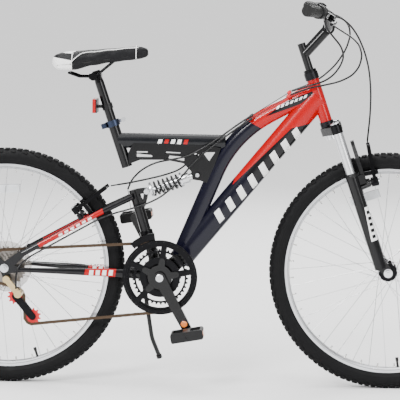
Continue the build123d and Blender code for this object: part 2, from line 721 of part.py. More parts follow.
def chain_rollers():
    """Roller centres round the whole loop, and the angle of one seated roller on each circle."""
    count = len(chain_stops)
    leave = [chain_tangent(i) for i in range(count)]
    wraps, phases = [], []
    for i, (centre, teeth, y, wrap) in enumerate(chain_stops):
        enter_angle = angle_about(centre, leave[i - 1][1])
        exit_angle = angle_about(centre, leave[i][0])
        sweep_angle = (-wrap * (exit_angle - enter_angle)) % (2 * pi)
        seated = int(sweep_angle / (2 * pi / teeth)) + 1
        spare = sweep_angle - (seated - 1) * 2 * pi / teeth
        first = enter_angle - wrap * spare / 2
        wraps.append([first - wrap * k * 2 * pi / teeth for k in range(seated)])
        phases.append(first)

    def seat_at(i, angle):
        centre, teeth, y, wrap = chain_stops[i % count]
        radius = pitch_radius_of(teeth)
        return Vector(centre.X + radius * cos(angle), y, centre.Z + radius * sin(angle))

    spans = [(seat_at(i, wraps[i][-1]), seat_at(i + 1, wraps[(i + 1) % count][0])) for i in range(count)]
    exact = [(end - start).length / chain_pitch for start, end in spans]
    pieces = [round(length) for length in exact]
    if (sum(len(wrap) for wrap in wraps) + sum(pieces) - count) % 2:
        # a closed chain has an even number of links, so the run nearest to a half link takes or gives one
        miss = [abs(length - whole) / length for length, whole in zip(exact, pieces)]
        loose = max(range(count), key=lambda i: abs(exact[i] - pieces[i]) - miss[i] * 0.001)
        pieces[loose] += 1 if exact[loose] > pieces[loose] else -1
    rollers = []
    for i in range(count):
        rollers.extend(seat_at(i, angle) for angle in wraps[i])
        start, end = spans[i]
        drift = end.Y - start.Y
        for k in range(1, pieces[i]):
            # the chain leaves each sprocket straight before it slants across to the next one
            across = min(max((k - 4) / max(pieces[i] - 8, 1), 0), 1)
            flat = start + (end - start) * (k / pieces[i])
            rollers.append(Vector(flat.X, start.Y + drift * across, flat.Z))
    return rollers, phases


rollers, seat_angles = chain_rollers()
print("chain links", len(rollers))
inner_plate = (1.5, 2.3)
outer_plate = (2.85, 3.65)
plate_half_height = 3.9


def chain_links():
    solids = []
    for i, start in enumerate(rollers):
        end = rollers[(i + 1) % len(rollers)]
        y = (start.Y + end.Y) / 2
        near, far = inner_plate if i % 2 == 0 else outer_plate
        for way in (-1, 1):
            low, high = sorted((y + way * near, y + way * far))
            solids.append(strap(start, plate_half_height, end, plate_half_height - 0.001, low, high))
        solids.append(cross_rod(start, start.Y - 1.2, start.Y + 1.2, roller_radius))
    return group(*solids)


save("chain", chain_links())


def clear_of_chain(solid, centre, teeth, y, thickness):
    """Relieve the teeth for the rollers that run on or off without sitting in a seat."""
    radius = pitch_radius_of(teeth)
    for roller in rollers:
        away = sqrt((roller.X - centre.X) ** 2 + (roller.Z - centre.Z) ** 2) - radius
        if 0.005 < abs(away) < roller_radius + tooth_height + 1:
            solid -= cross_rod(roller, y - thickness, y + thickness, roller_radius + roller_gap)
    return solid


ring_hole = 38.0
bolt_circle = 46.0
ring_bolt_radius = 4.5
rings = None
for teeth, y, phase in zip(ring_teeth, ring_y, (seat_angles[1], 0.03, 0.05)):
    inner = ring_hole if teeth > 30 else ring_hole - 4
    ring = sprocket(bracket, teeth, phase, y, ring_thickness, inner)
    if teeth == ring_teeth[0]:
        ring = clear_of_chain(ring, bracket, teeth, y, ring_thickness)
    rings = ring if rings is None else rings + ring
ring_arm_half = 8.0
for y, inner, outer in ((ring_y[0], 56, 85), (ring_y[1], 54, 68)):
    window = disc(bracket, outer, inner, y, ring_thickness + 2)
    for k in range(5):
        angle = 2 * pi * k / 5 + radians(crank_angle)
        out = Vector(cos(angle), 0, sin(angle))
        window -= strap(bracket + out * bolt_circle, ring_arm_half, bracket + out * 90, ring_arm_half, y - 4, y + 4)
    rings -= window
for k in range(5):
    angle = 2 * pi * k / 5 + radians(crank_angle)
    at = bracket + Vector(cos(angle), 0, sin(angle)) * bolt_circle
    rings += cross_rod(at, ring_y[2] + 1, guard_y - 1.25, ring_bolt_radius)
guard = disc(bracket, guard_radius, guard_radius - 12, guard_y, 2.5)
for k in range(5):
    angle = 2 * pi * k / 5 + radians(crank_angle)
    out = Vector(cos(angle), 0, sin(angle))
    spoke_arm = strap(bracket + out * bolt_circle, 9, bracket + out * (guard_radius - 8), 6,
                      guard_y - 1.25, guard_y + 1.25)
    guard += spoke_arm - cross_rod(bracket + out * bolt_circle, guard_y - 2, guard_y + 2, ring_bolt_radius)
save("chainrings", group(rings, guard - cross_rod(bracket, guard_y - 3, guard_y + 3, bolt_circle - 12)))

crank_out = Vector(cos(radians(crank_angle)), 0, sin(radians(crank_angle)))
pedal_right_at = bracket + crank_out * crank_length
pedal_left_at = bracket - crank_out * crank_length
spindle_radius = 8.5
pedal_pin_radius = 5.0


def crank_arm(way, tip):
    low, high = sorted((way * crank_inner_y, way * (crank_inner_y + crank_thickness)))
    arm = strap(bracket, 16, tip, 12.5, low, high)
    start, end = way * (crank_inner_y + crank_thickness), way * (pedal_inner_y + pedal_width - 4)
    arm += cross_rod(tip, start, end, pedal_pin_radius)
    arm += cross_rod(tip, start, way * (pedal_inner_y - face_gap), 8.5)
    return arm - cross_rod(bracket, -100, 100, spindle_radius)


spider = cross_rod(bracket, guard_y - 1.25, -crank_inner_y, 34)
for k in range(5):
    angle = 2 * pi * k / 5 + radians(crank_angle)
    out = Vector(cos(angle), 0, sin(angle))
    spider += strap(bracket + out * 20, 11, bracket + out * bolt_circle, 8, -crank_inner_y, guard_y - 1.25)
right_crank = crank_arm(-1, pedal_right_at) + (spider - cross_rod(bracket, -100, 100, spindle_radius))
save("right_crank", right_crank)
end_cap = crank_inner_y + crank_thickness
spindle = cross_rod(bracket, -end_cap - 1.5, end_cap + 1.5, spindle_radius)
save("left_crank", group(crank_arm(1, pedal_left_at), spindle))


def pedal(centre, way):
    """Cage pedal on a barrel that turns on the crank's pin."""
    low, high = sorted((way * pedal_inner_y, way * (pedal_inner_y + pedal_width)))
    middle = (low + high) / 2
    at = Plane(Vector(centre.X, middle, centre.Z), x_dir=(
        cos(radians(pedal_tilt)), 0, sin(radians(pedal_tilt))), z_dir=(0, -1, 0))
    body = at * extrude(RectangleRounded(pedal_length, pedal_height, 6), pedal_width / 2, both=True)
    for shift in (-1, 1):
        window = at * (Pos(shift * pedal_length * 0.27, 0, 0) * Box(
            pedal_length * 0.3, pedal_height + 4, pedal_width - 16))
        body -= window
    return body - cross_rod(centre, low - 1, high + 1, pedal_pin_radius + running_gap)


save("right_pedal", pedal(pedal_right_at, -1))
save("left_pedal", pedal(pedal_left_at, 1))

free_bore = hub_shell_radius - 5 + running_gap
freewheel = cross_tube(rear, -35.5, -rear_dropout_y + 2.5, 22.5, free_bore)
for i, teeth in enumerate(cog_teeth):
    phase = seat_angles[0] if i == chain_cog else 0.1 * i
    cog = sprocket(rear, teeth, phase, cog_first_y - i * cog_pitch_y, 1.9, 20)
    if i == chain_cog:
        cog = clear_of_chain(cog, rear, teeth, chain_cog_y, 1.5)
    freewheel += cog
save("freewheel", freewheel)

# ---- rear derailleur -----------------------------------------------------------------------
cage_gap = 4.9
cage_plate = 2.0
cage_in = chain_cog_y + cage_gap
cage_out = chain_cog_y - cage_gap
pulley_pin = 2.5


def pulley(centre, phase):
    return sprocket(centre, pulley_teeth, phase, chain_cog_y, 2.2, pulley_pin + running_gap) + cross_tube(
        centre, chain_cog_y - 3.2, chain_cog_y + 3.2, 9, pulley_pin + running_gap)


save("tension_pulley", pulley(tension_centre, seat_angles[2]))
save("guide_pulley", pulley(guide_centre, seat_angles[3]))
cage = strap(guide_centre, 10, tension_centre, 10, cage_in, cage_in + cage_plate)
cage += strap(guide_centre, 10, tension_centre, 10, cage_out - cage_plate, cage_out)
cage += strap(guide_centre, 10, cage_pivot, 9, cage_out - cage_plate, cage_out)
cage += cross_rod(guide_centre, cage_out - cage_plate, cage_in + cage_plate, pulley_pin)
cage += cross_rod(tension_centre, cage_out - cage_plate, cage_in + cage_plate, pulley_pin)
cage += cross_rod(cage_pivot, cage_out - cage_plate, cage_out - 14, 4)
save("derailleur_cage", cage)

knuckle_y = cage_out - cage_plate - face_gap
drop_outer = -rear_dropout_y - dropout_thickness
body = cross_rod(hanger, drop_outer - 20, drop_outer, 10) + cross_rod(hanger, -rear_dropout_y, drop_outer, 5)
body += strap(hanger, 8, cage_pivot, 8, drop_outer - 16, drop_outer - 6)
body += cross_rod(cage_pivot, drop_outer - 20, knuckle_y, 11)
body -= cross_rod(cage_pivot, knuckle_y - 16, knuckle_y + 1, 4 + running_gap)
save("rear_derailleur", body)

# ---- front derailleur ----------------------------------------------------------------------
fd_at = upright_foot + upright_dir * 118
fd_clamp = tube(fd_at - upright_dir * 10, fd_at + upright_dir * 10, upright_radius + 3.5, upright_radius)
fd_arm = rod(fd_at + Vector(2, -17, 0), fd_at + Vector(4, -52, -6), 7)
fd_arm -= rod(fd_at - upright_dir * 20, fd_at + upright_dir * 20, upright_radius + 1)


def cage_arc(inner, outer, start, end):
    """Outline of a bent plate between two radii about the bottom bracket."""
    steps = 6
    angles = [radians(start + (end - start) * k / steps) for k in range(steps + 1)]
    outer_side = [bracket + Vector(cos(a), 0, sin(a)) * outer for a in angles]
    inner_side = [bracket + Vector(cos(a), 0, sin(a)) * inner for a in reversed(angles)]
    return outer_side + inner_side


fd_cage = plate(cage_arc(106, 124, 98, 132), -64.7, -63.2) + plate(cage_arc(101, 124, 98, 128), -50.4, -49.0)
fd_cage += plate(cage_arc(121, 124, 98, 112), -64.7, -49.0)
save("front_derailleur", fd_clamp + fd_arm + fd_cage)

# ---- kickstand -----------------------------------------------------------------------------
kick_knee = kick_pivot + Vector(25, 56, -172)
kick_foot = kick_pivot + Vector(43, 84, -226)
kick_leg = round_path([kick_pivot + Vector(0, 53, -6), kick_knee, kick_foot], 60, 6)
kick_eye = cross_rod(kick_pivot, 44.3, 60, 10)
save("kickstand_leg", (kick_leg + kick_eye + rod(kick_foot, kick_foot + Vector(2, 3, -8), 8)) - cross_rod(
    kick_pivot, 30, 70, 4 + running_gap))

# ---- rim brakes ----------------------------------------------------------------------------
def local_strap(frame, a, ra, b, rb, z0, z1):
    """Tapered link plate lying in a local frame's XY plane."""
    span = (b[0] - a[0], b[1] - a[1])
    heading = atan2(span[1], span[0])
    lean = acos((ra - rb) / sqrt(span[0] ** 2 + span[1] ** 2))
    corners = []
    for centre, radius, turns in ((a, ra, (1, -1)), (b, rb, (-1, 1))):
        for turn in turns:
            angle = heading + turn * lean
            corners.append((centre[0] + radius * cos(angle), centre[1] + radius * sin(angle)))
    low, high = min(z0, z1), max(z0, z1)
    wire = Wire.make_polygon([frame.from_local_coords(Vector(x, y, low)) for x, y in corners], close=True)
    body = extrude(Face(wire), amount=high - low, dir=frame.z_dir)
    for centre, radius in ((a, ra), (b, rb)):
        body += local_rod(frame, (centre[0], centre[1], low), (centre[0], centre[1], high), radius)
    return body


def brake_arm(frame, way, out):
    """V-brake arm on its boss, with its pad beside the rim; out is the boss's direction."""
    root = (way * boss_half_spacing, 0)
    tip = (way * (boss_half_spacing - 3), brake_arm_length - 4)
    arm = local_strap(frame, root, 9, tip, 5, out * 8, out * 18)
    arm += local_rod(frame, (root[0], 0, out * 2), (root[0], 0, out * 22), 9)
    pad_x = rim_width / 2 + pad_gap + 4
    post = local_rod(frame, (way * (pad_x + 3), boss_below_rim, out * 13), (
        way * boss_half_spacing, boss_below_rim, out * 13), 3.5)
    bore = local_rod(frame, (root[0], 0, -40), (root[0], 0, 40), boss_radius + running_gap)
    pad = frame * (Pos(way * pad_x, boss_below_rim, 0) * Box(8, 11, 52))
    return group((arm + post - pad) - bore, pad)


for label, frame, out in (("front", front_boss, 1), ("rear", rear_boss, -1)):
    save(f"{label}_brake_arm_right", brake_arm(frame, -1, out))
    save(f"{label}_brake_arm_left", brake_arm(frame, 1, out))

# ---- fork ----------------------------------------------------------------------------------
bore_radius = stanchion_radius + running_gap


def lower_leg(way):
    y = way * stanchion_half
    leg = rod(steer(20, stanchion_offset, y), steer(lower_leg_top, stanchion_offset, y), lower_leg_radius)
    low, high = sorted((way * front_dropout_y, way * (front_dropout_y + dropout_thickness)))
    leg += strap(steer(46, stanchion_offset), 15, front, 14, low, high)
    foot_start = steer(250, stanchion_offset + 12, way * (stanchion_half - 4))
    leg += rod(foot_start, front_boss.from_local_coords(Vector(way * (boss_half_spacing + 1), 0, -3)), 8)
    leg += local_rod(front_boss, (way * boss_half_spacing, 0, -10), (way * boss_half_spacing, 0, 26), boss_radius)
    link_at = steer(lower_leg_top - 14, stanchion_offset + 22, way * (stanchion_half - 6))
    leg += Plane(link_at, x_dir=side, z_dir=steer_dir) * Box(20, 20, 26)
    leg -= rod(steer(45, stanchion_offset, y), steer(lower_leg_top + 40, stanchion_offset, y), bore_radius)
    return leg - cross_rod(front, -90, 90, front_axle_radius)


arch_frame = Plane(steer(0, stanchion_offset + 30), x_dir=side, z_dir=steer_out)
arch_outer = [(56, 258), (56, 330), (40, 366), (20, 376), (-20, 376), (-40, 366), (-56, 330), (-56, 258)]
arch_inner = [(40, 250), (40, 326), (28, 348), (-28, 348), (-40, 326), (-40, 250)]


def arch_shape(points, half):
    wire = Wire.make_polygon([arch_frame.from_local_coords(Vector(x, y, -half)) for x, y in points], close=True)
    return extrude(Face(wire), amount=2 * half, dir=arch_frame.z_dir)


arch = arch_shape(arch_outer, 5) - arch_shape(arch_inner, 6)
save("fork_lowers", lower_leg(1) + lower_leg(-1) + arch)

crown_frame = Plane(steer(crown_bottom), x_dir=side, z_dir=steer_dir)
crown_height = crown_top - crown_bottom
crown = None
for way in (-1, 1):
    half_crown = local_strap(crown_frame, (0, 0), 23, (way * stanchion_half, -stanchion_offset), 16, 0, crown_height)
    crown = half_crown if crown is None else crown + half_crown
steerer_top = fork_length + head_tube_length + upper_cup_height
crown += rod(steer(398), steer(steerer_top + 8), steerer_radius)
crown += rod(steer(steerer_top + face_gap), steer(steerer_top + 8), 17.5)
crown -= rod(steer(390), steer(steerer_top + 20), quill_radius)
for way in (-1, 1):
    y = way * stanchion_half
    crown += rod(steer(110, stanchion_offset, y), steer(crown_top + 4, stanchion_offset, y), stanchion_radius)
    crown -= rod(steer(105, stanchion_offset, y), steer(crown_top - 4, stanchion_offset, y), stanchion_radius - 2.2)
save("fork_crown", crown)

# ---- stem and handlebar --------------------------------------------------------------------
bar_centre = steer(bar_up, bar_forward)
knee_y = 125.0


def bar_points(way):
    end_x = -8 - (bar_half - knee_y) * tan(radians(bar_sweep))
    inner = bar_centre + Vector(0, way * 45, 0)
    knee = bar_centre + Vector(-8, way * knee_y, bar_rise)
    end = bar_centre + Vector(end_x, way * bar_half, bar_rise + 8)
    return [inner, knee, end]


bar_line = list(reversed(bar_points(-1))) + bar_points(1)
bar_solid = round_path(bar_line, 40, bar_radius)
save("handlebar", bar_solid - round_path(bar_line, 40, bar_radius - 2))
stem = rod(steer(560), steer(stem_top), quill_radius) + rod(steer(645), bar_centre, extension_radius)
stem += cross_rod(bar_centre, -20, 20, 17)
save("stem", stem - bar_solid)


class Side:
    """Directions and places along one end of the handlebar."""

    def __init__(self, way):
        self.way = way
        inner, knee, self.end = bar_points(way)
        self.out = (self.end - knee).normalized()
        forward = Vector(0.86, 0, -0.51)
        self.reach = (forward - self.out * forward.dot(self.out)).normalized()
        self.pivot_axis = self.reach.cross(self.out).normalized()

    def at(self, inboard, reach=0.0, up=0.0):
        """A point that far inboard of the bar's end, out from it and along the lever's pivot."""
        return self.end - self.out * inboard + self.reach * reach + self.pivot_axis * up


lever_inboard = 149.0
lever_reach = 30.0
sides = {"right": Side(-1), "left": Side(1)}
grips, mounts = [], []
for name, s in sides.items():
    grip = rod(s.at(grip_length), s.at(-3), grip_radius) - rod(s.at(grip_length + 1), s.at(0), bar_radius)
    grips.append(grip)
    shifter = rod(s.at(grip_length + 1.5 + shifter_length), s.at(grip_length + 1.5), shifter_radius)
    shifter -= rod(s.at(200), s.at(0), bar_radius + running_gap)
    save(f"{name}_twist_shifter", shifter)
    mount = rod(s.at(lever_inboard + 6), s.at(lever_inboard - 6), 16)
    mount += rod(s.at(lever_inboard), s.at(lever_inboard, 18), 8)
    for level in (-1, 1):
        low, high = sorted((level * 6.6, level * 9.1))
        ear = rod(s.at(lever_inboard, lever_reach, low), s.at(lever_inboard, lever_reach, high), 7)
        ear += rod(s.at(lever_inboard, 15, low), s.at(lever_inboard, 15, high), 7)
        middle = Plane(s.at(lever_inboard, (15 + lever_reach) / 2, (low + high) / 2), x_dir=s.out,
                       z_dir=s.pivot_axis) * Box(14, lever_reach - 15, 2.5)
        mount += ear + middle
    mount += rod(s.at(lever_inboard, lever_reach, -9), s.at(lever_inboard, lever_reach, 9), 3)
    mounts.append(mount - bar_solid)
    root = rod(s.at(lever_inboard, lever_reach, -6), s.at(lever_inboard, lever_reach, 6), 7.5)
    blade = root
    blade_points = [(lever_inboard, lever_reach), (122, 52), (85, 60), (34, 66)]
    for (near, low), (far, high) in zip(blade_points, blade_points[1:]):
        blade += rod(s.at(near, low), s.at(far, high), 4.5)
    for inboard, reach in blade_points[1:]:
        blade += Plane(s.at(inboard, reach)) * Sphere(4.5)
    save(f"{name}_brake_lever", blade - rod(
        s.at(lever_inboard, lever_reach, -20), s.at(lever_inboard, lever_reach, 20), 3 + running_gap))
save("handlebar_grips", group(*grips))
save("lever_mounts", group(*mounts))

# ---- cables --------------------------------------------------------------------------------
housing_radius = 2.5
wire_radius = 0.8


def cord(points, radius):
    """Cable through hand-placed points: straight runs joined by the largest arcs they allow."""
    spots = [Vector(*p) for p in points]
    radii = []
    for a, b, c in zip(spots, spots[1:], spots[2:]):
        turn = radians((b - a).get_angle(c - b))
        radii.append(0.45 * min((b - a).length, (c - b).length) / tan(turn / 2))
    path = FilletPolyline(*spots, radius=radii) if radii else Line(*spots)
    if radii:
        print("cable arcs", [round(r) for r in radii], "length", round(path.length))
    return sweep(Plane(path @ 0, z_dir=path % 0) * Circle(radius), path=path)


front_brake_route = [(360, -148, 1040), (392, -141, 1034), (418, -130, 1012), (438, -112, 983), (456, -86, 943),
                     (470, -52, 893), (477, -15, 831), (477, 22, 765), (473, 47, 712), (471, 55, 688)]
front_noodle_route = [(471, 55, 687.5), (471.5, 56, 677), (472, 47, 671)]
save("front_brake_cable", group(
    cord(front_brake_route, housing_radius),
    rod(Vector(471, 55, 687.5), Vector(472, 54.5, 676), 2),
    rod(Vector(472, 31, 680), Vector(472, -31, 680), wire_radius)))

gear_rear_route = [(346, -170, 1026), (353, -162, 1004), (372, -150, 981), (392, -134, 957), (400, -113, 929),
                   (391, -89, 902), (373, -66, 876), (347, -46, 857), (308, -35, 845), (259, -25, 829)]
gear_front_route = [(346, 170, 1026), (366, 138, 1009), (388, 96, 996), (408, 46, 985), (427, -6, 974),
                    (443, -52, 957), (450, -76, 930), (443, -72, 900), (424, -57, 875), (390, -43, 857),
                    (347, -30, 846), (304, -25, 837), (257, -24, 819)]
rear_brake_route = [(360, 148, 1040), (392, 143, 1030), (416, 134, 1008), (420, 118, 978), (408, 90, 940),
                    (378, 60, 896), (338, 38, 862), (300, 28, 842), (259, 25, 827)]
save("front_control_cables", group(
    cord(gear_rear_route, housing_radius), cord(gear_front_route, housing_radius),
    cord(rear_brake_route, housing_radius)))


def cable_stop(start, end):
    """Clip on the upper tube that ends a housing."""
    a, b = Vector(*start), Vector(*end)
    mid, way = (a + b) * 0.5, 1 if a.Y > 0 else -1
    foot = Plane(mid - side * way * 3.2, x_dir=(b - a), z_dir=side) * Box(9, 6, 7)
    return (rod(a, b, 4) + foot) - rod(a - (b - a), b + (b - a), wire_radius) - upper_outer


wire_ends = [((255, -25, 826.5), (145, -24, 757)), ((253, -24, 816.5), (142, -24, 747)),
             ((255, 25, 824.5), (145, 24, 755))]
frame_pieces = []
for start, end in wire_ends:
    a, b = Vector(*start), Vector(*end)
    step = (b - a).normalized() * 9
    frame_pieces.append(cable_stop(tuple(a), tuple(a + step)))
    frame_pieces.append(cable_stop(tuple(b - step), tuple(b)))
    frame_pieces.append(rod(a + step, b - step, wire_radius))
frame_housings = [[(144.6, -24, 756.7), (112, -23, 735), (62, -23, 698), (14, -22, 667)],
                  [(141.6, -24, 746.7), (106, -23, 722), (58, -23, 686), (16, -22, 652)],
                  [(144.6, 24, 754.7), (112, 23, 733), (62, 23, 696), (14, 22, 661)]]
for route in frame_housings:
    frame_pieces.append(cord(route, housing_radius))
save("frame_cables", group(*frame_pieces))

gear_front_rear_route = [(13.6, -22, 666.7), (-26, -22, 644), (-72, -24, 635), (-118, -28, 626),
                         (-157, -24, 604), (-183, -16, 576), (-194, -8, 549)]
gear_rear_rear_route = [(15.6, -22, 651.7), (-18, -23, 618), (-44, -27, 586), (-70, -31, 556), (-100, -35, 531),
                        (-138, -37, 512), (-180, -39, 498), (-232, -42, 484), (-276, -47, 466),
                        (-462, -72, 363), (-490, -86, 340), (-497, -93, 310), (-496, -94, 276)]
brake_rear_rear_route = [(13.6, 22, 660.7), (-20, 22, 630), (-52, 24, 602), (-96, 26, 586), (-144, 29, 574),
                         (-190, 37, 563), (-226, 45, 556)]
save("rear_control_cables", group(
    cord(gear_front_rear_route, housing_radius), cord(gear_rear_rear_route, housing_radius),
    cord(brake_rear_rear_route, housing_radius),
    rod(Vector(-194, -8, 548), Vector(-178, -8, 447), wire_radius),
    rod(Vector(-226.5, 45.2, 556), Vector(-247, 48, 552), 2),
    rod(Vector(-254, 31, 553), Vector(-254, -31, 553), wire_radius)))
print("nodes", len(made))
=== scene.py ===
from math import cos, pi, radians, sin, sqrt

import bpy
from mathutils import Matrix, Vector


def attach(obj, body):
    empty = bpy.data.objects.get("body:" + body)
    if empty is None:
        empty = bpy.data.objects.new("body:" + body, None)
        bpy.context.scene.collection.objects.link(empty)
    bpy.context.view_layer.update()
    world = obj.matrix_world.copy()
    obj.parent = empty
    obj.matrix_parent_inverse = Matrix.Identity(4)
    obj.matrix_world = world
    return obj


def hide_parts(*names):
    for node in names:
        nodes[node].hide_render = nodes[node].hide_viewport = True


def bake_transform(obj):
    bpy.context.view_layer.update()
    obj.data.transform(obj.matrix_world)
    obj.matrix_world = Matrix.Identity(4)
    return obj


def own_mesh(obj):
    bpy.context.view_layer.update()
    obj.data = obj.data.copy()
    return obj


# Full-suspension mountain bike.  Metres; +X forward, +Y to the rider's left, +Z up.
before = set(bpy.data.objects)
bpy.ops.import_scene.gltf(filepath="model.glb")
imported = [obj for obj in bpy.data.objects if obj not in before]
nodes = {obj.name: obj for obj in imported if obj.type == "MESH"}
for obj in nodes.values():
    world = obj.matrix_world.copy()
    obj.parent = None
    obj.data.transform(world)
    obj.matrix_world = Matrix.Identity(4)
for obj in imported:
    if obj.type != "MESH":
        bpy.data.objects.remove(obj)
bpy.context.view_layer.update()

HUBS = {"front": Vector((0.532, 0, 0.330)), "rear": Vector((-0.532, 0, 0.330))}
SADDLE_CENTRE = Vector((-0.2901, 0, 0.8622))
BRACKET = Vector((-0.099, 0, 0.310))
HEAD_LEAN = radians(18.6)
STEER_UP = Vector((-sin(HEAD_LEAN), 0, cos(HEAD_LEAN)))
STEER_AHEAD = Vector((cos(HEAD_LEAN), 0, sin(HEAD_LEAN)))
FORK_FOOT = HUBS["front"] - STEER_AHEAD * 0.0354
CRANK_ANGLE = radians(-61.5)
CRANK_LENGTH = 0.170
PEDAL_CENTRE_Y = 0.127
PEDAL_TILT = radians(10)
SHOCK_FRONT = Vector((0.0005, 0, 0.592))
LEFT_HAND = Vector((0, 1, 0))


def direction(angle):
    """Unit vector in the XZ plane, from +X towards +Z."""
    return Vector((cos(angle), 0, sin(angle)))


def sideways(y):
    return Vector((0, y, 0))


# ---- materials -----------------------------------------------------------------------------
class Shader:
    """A principled material with object-space detail."""

    def __init__(self, name, color, rough=0.4, metal=0.0, coat=0.0, alpha=1.0, specular=0.5):
        self.mat = bpy.data.materials.new(name)
        self.mat.use_nodes = True
        self.tree = self.mat.node_tree
        self.bsdf = self.tree.nodes["Principled BSDF"]
        self.color = tuple(color) + (1.0,)
        self.bsdf.inputs["Base Color"].default_value = self.color
        self.bsdf.inputs["Roughness"].default_value = rough
        self.bsdf.inputs["Metallic"].default_value = metal
        self.bsdf.inputs["Coat Weight"].default_value = coat
        self.bsdf.inputs["Coat Roughness"].default_value = 0.08
        self.bsdf.inputs["Specular IOR Level"].default_value = specular
        self.bsdf.inputs["Alpha"].default_value = alpha
        self.place = self.new("ShaderNodeTexCoord").outputs["Object"]
        split = self.new("ShaderNodeSeparateXYZ")
        self.link(self.place, split.inputs[0])
        self.x, self.y, self.z = split.outputs
        self.rough = rough
        self.paint = None

    def new(self, kind):
        return self.tree.nodes.new(kind)

    def link(self, a, b):
        self.tree.links.new(a, b)

    def math(self, operation, a, b=None, c=None):
        node = self.new("ShaderNodeMath")
        node.operation = operation
        for socket, value in zip(node.inputs, (a, b, c)):
            if value is None:
                continue
            if isinstance(value, (int, float)):
                socket.default_value = value
            else:
                self.link(value, socket)
        return node.outputs[0]

    def noise(self, scale, detail=4.0, stretch=None):
        node = self.new("ShaderNodeTexNoise")
        node.inputs["Scale"].default_value = scale
        node.inputs["Detail"].default_value = detail
        if stretch:
            mapping = self.new("ShaderNodeMapping")
            mapping.inputs["Scale"].default_value = stretch
            self.link(self.place, mapping.inputs["Vector"])
            self.link(mapping.outputs[0], node.inputs["Vector"])
        else:
            self.link(self.place, node.inputs["Vector"])
        return node.outputs["Fac"]

    def vary(self, scale=40.0, amount=0.12, stretch=None):
        """Uneven gloss over the surface."""
        spread = self.new("ShaderNodeMapRange")
        spread.inputs["To Min"].default_value = max(self.rough - amount, 0.02)
        spread.inputs["To Max"].default_value = min(self.rough + amount, 1.0)
        self.link(self.noise(scale, 5.0, stretch), spread.inputs["Value"])
        self.link(spread.outputs[0], self.bsdf.inputs["Roughness"])
        return self

    def bump(self, height, distance, strength=0.4):
        node = self.new("ShaderNodeBump")
        node.inputs["Strength"].default_value = strength
        node.inputs["Distance"].default_value = distance
        self.link(height, node.inputs["Height"])
        self.link(node.outputs[0], self.bsdf.inputs["Normal"])
        return self

    def tint(self, scale, amount):
        """Slight lightness change across the surface under any painted shapes."""
        ramp = self.new("ShaderNodeMapRange")
        ramp.inputs["To Min"].default_value = 1.0 - amount
        ramp.inputs["To Max"].default_value = 1.0 + amount
        self.link(self.noise(scale, 3.0), ramp.inputs["Value"])
        scaled = self.new("ShaderNodeVectorMath")
        scaled.operation = "SCALE"
        scaled.inputs[0].default_value = self.color[:3]
        self.link(ramp.outputs[0], scaled.inputs["Scale"])
        self.paint = scaled.outputs[0]
        self.link(self.paint, self.bsdf.inputs["Base Color"])
        return self

    def cover(self, mask, color):
        """Paint a colour where the mask is one."""
        mix = self.new("ShaderNodeMix")
        mix.data_type = "RGBA"
        self.link(mask, mix.inputs[0])
        if self.paint is None:
            mix.inputs[6].default_value = self.color
        else:
            self.link(self.paint, mix.inputs[6])
        mix.inputs[7].default_value = tuple(color) + (1.0,)
        self.paint = mix.outputs[2]
        self.link(self.paint, self.bsdf.inputs["Base Color"])
        return self

    def above(self, a, b, edge=0.0006):
        """One on the left of the line from a to b in the XZ plane, going from a to b."""
        dx, dz = b[0] - a[0], b[1] - a[1]
        length = sqrt(dx * dx + dz * dz)
        nx, nz = -dz / length / edge, dx / length / edge
        offset = 0.5 - (nx * a[0] + nz * a[1])
        part = self.math("MULTIPLY_ADD", self.x, nx, offset)
        total = self.math("MULTIPLY_ADD", self.z, nz, part)
        total.node.use_clamp = True
        return total

    def shape(self, *corners):
        """Convex shape in the XZ plane, corners anticlockwise with X to the right and Z up."""
        mask = None
        for a, b in zip(corners, corners[1:] + corners[:1]):
            half = self.above(a, b)
            mask = half if mask is None else self.math("MULTIPLY", mask, half)
        return mask


def metal(name, color, rough, scale=60.0, stretch=None, bump=0.05):
    s = Shader(name, color, rough, 1.0)
    s.vary(scale, 0.1, stretch).tint(18, 0.12)
    return s.bump(s.noise(scale * 8), 0.0002, bump).mat


def paint(name, color, rough=0.22, coat=0.15):
    s = Shader(name, color, rough, 0.0, coat, specular=0.22)
    s.vary(30, 0.08).tint(9, 0.2)
    s.bump(s.noise(900), 0.0001, 0.06)
    return s


RED = (0.36, 0.0, 0.002)
WHITE = (0.82, 0.82, 0.81)
BLACK = (0.003, 0.003, 0.004)
FRAME_BLUE = (0.0025, 0.0025, 0.0085)
CHROMED = (0.7, 0.71, 0.73)

black_metal = metal("satin_black_metal", (0.012, 0.012, 0.013), 0.3)
black_paint = paint("black_gloss", (0.003, 0.003, 0.0035), 0.22).mat
chrome = metal("chrome_plate", (0.74, 0.75, 0.77), 0.16, 30, None, 0.02)
alloy = metal("brushed_alloy", (0.66, 0.67, 0.69), 0.3, 40)
spoke_steel = metal("stainless_spokes", (0.7, 0.7, 0.71), 0.25, 90)
brass_nipple = metal("nipple_plate", (0.7, 0.69, 0.66), 0.25, 200)
chain_steel = metal("chain_steel", (0.075, 0.052, 0.036), 0.38, 160)
cog_steel = metal("cog_steel", (0.24, 0.22, 0.2), 0.34, 120)
gold = metal("gold_link", (0.6, 0.46, 0.24), 0.3, 80)


def plastic(name, color, rough=0.45, bump=0.2, scale=600.0, alpha=1.0):
    s = Shader(name, color, rough, 0.0, alpha=alpha, specular=0.3)
    s.vary(50, 0.1).tint(20, 0.12)
    return s.bump(s.noise(scale), 0.0003, bump).mat


black_plastic = plastic("black_plastic", (0.004, 0.004, 0.0045))
housing = plastic("cable_housing", (0.003, 0.003, 0.0035), 0.3, 0.05)
red_plastic = plastic("red_plastic", (0.55, 0.01, 0.015), 0.35, 0.05)
smoke = plastic("smoked_disc", (0.30, 0.27, 0.24), 0.3, 0.1, alpha=0.35)
piping_mat = plastic("white_piping", WHITE, 0.4, 0.2)


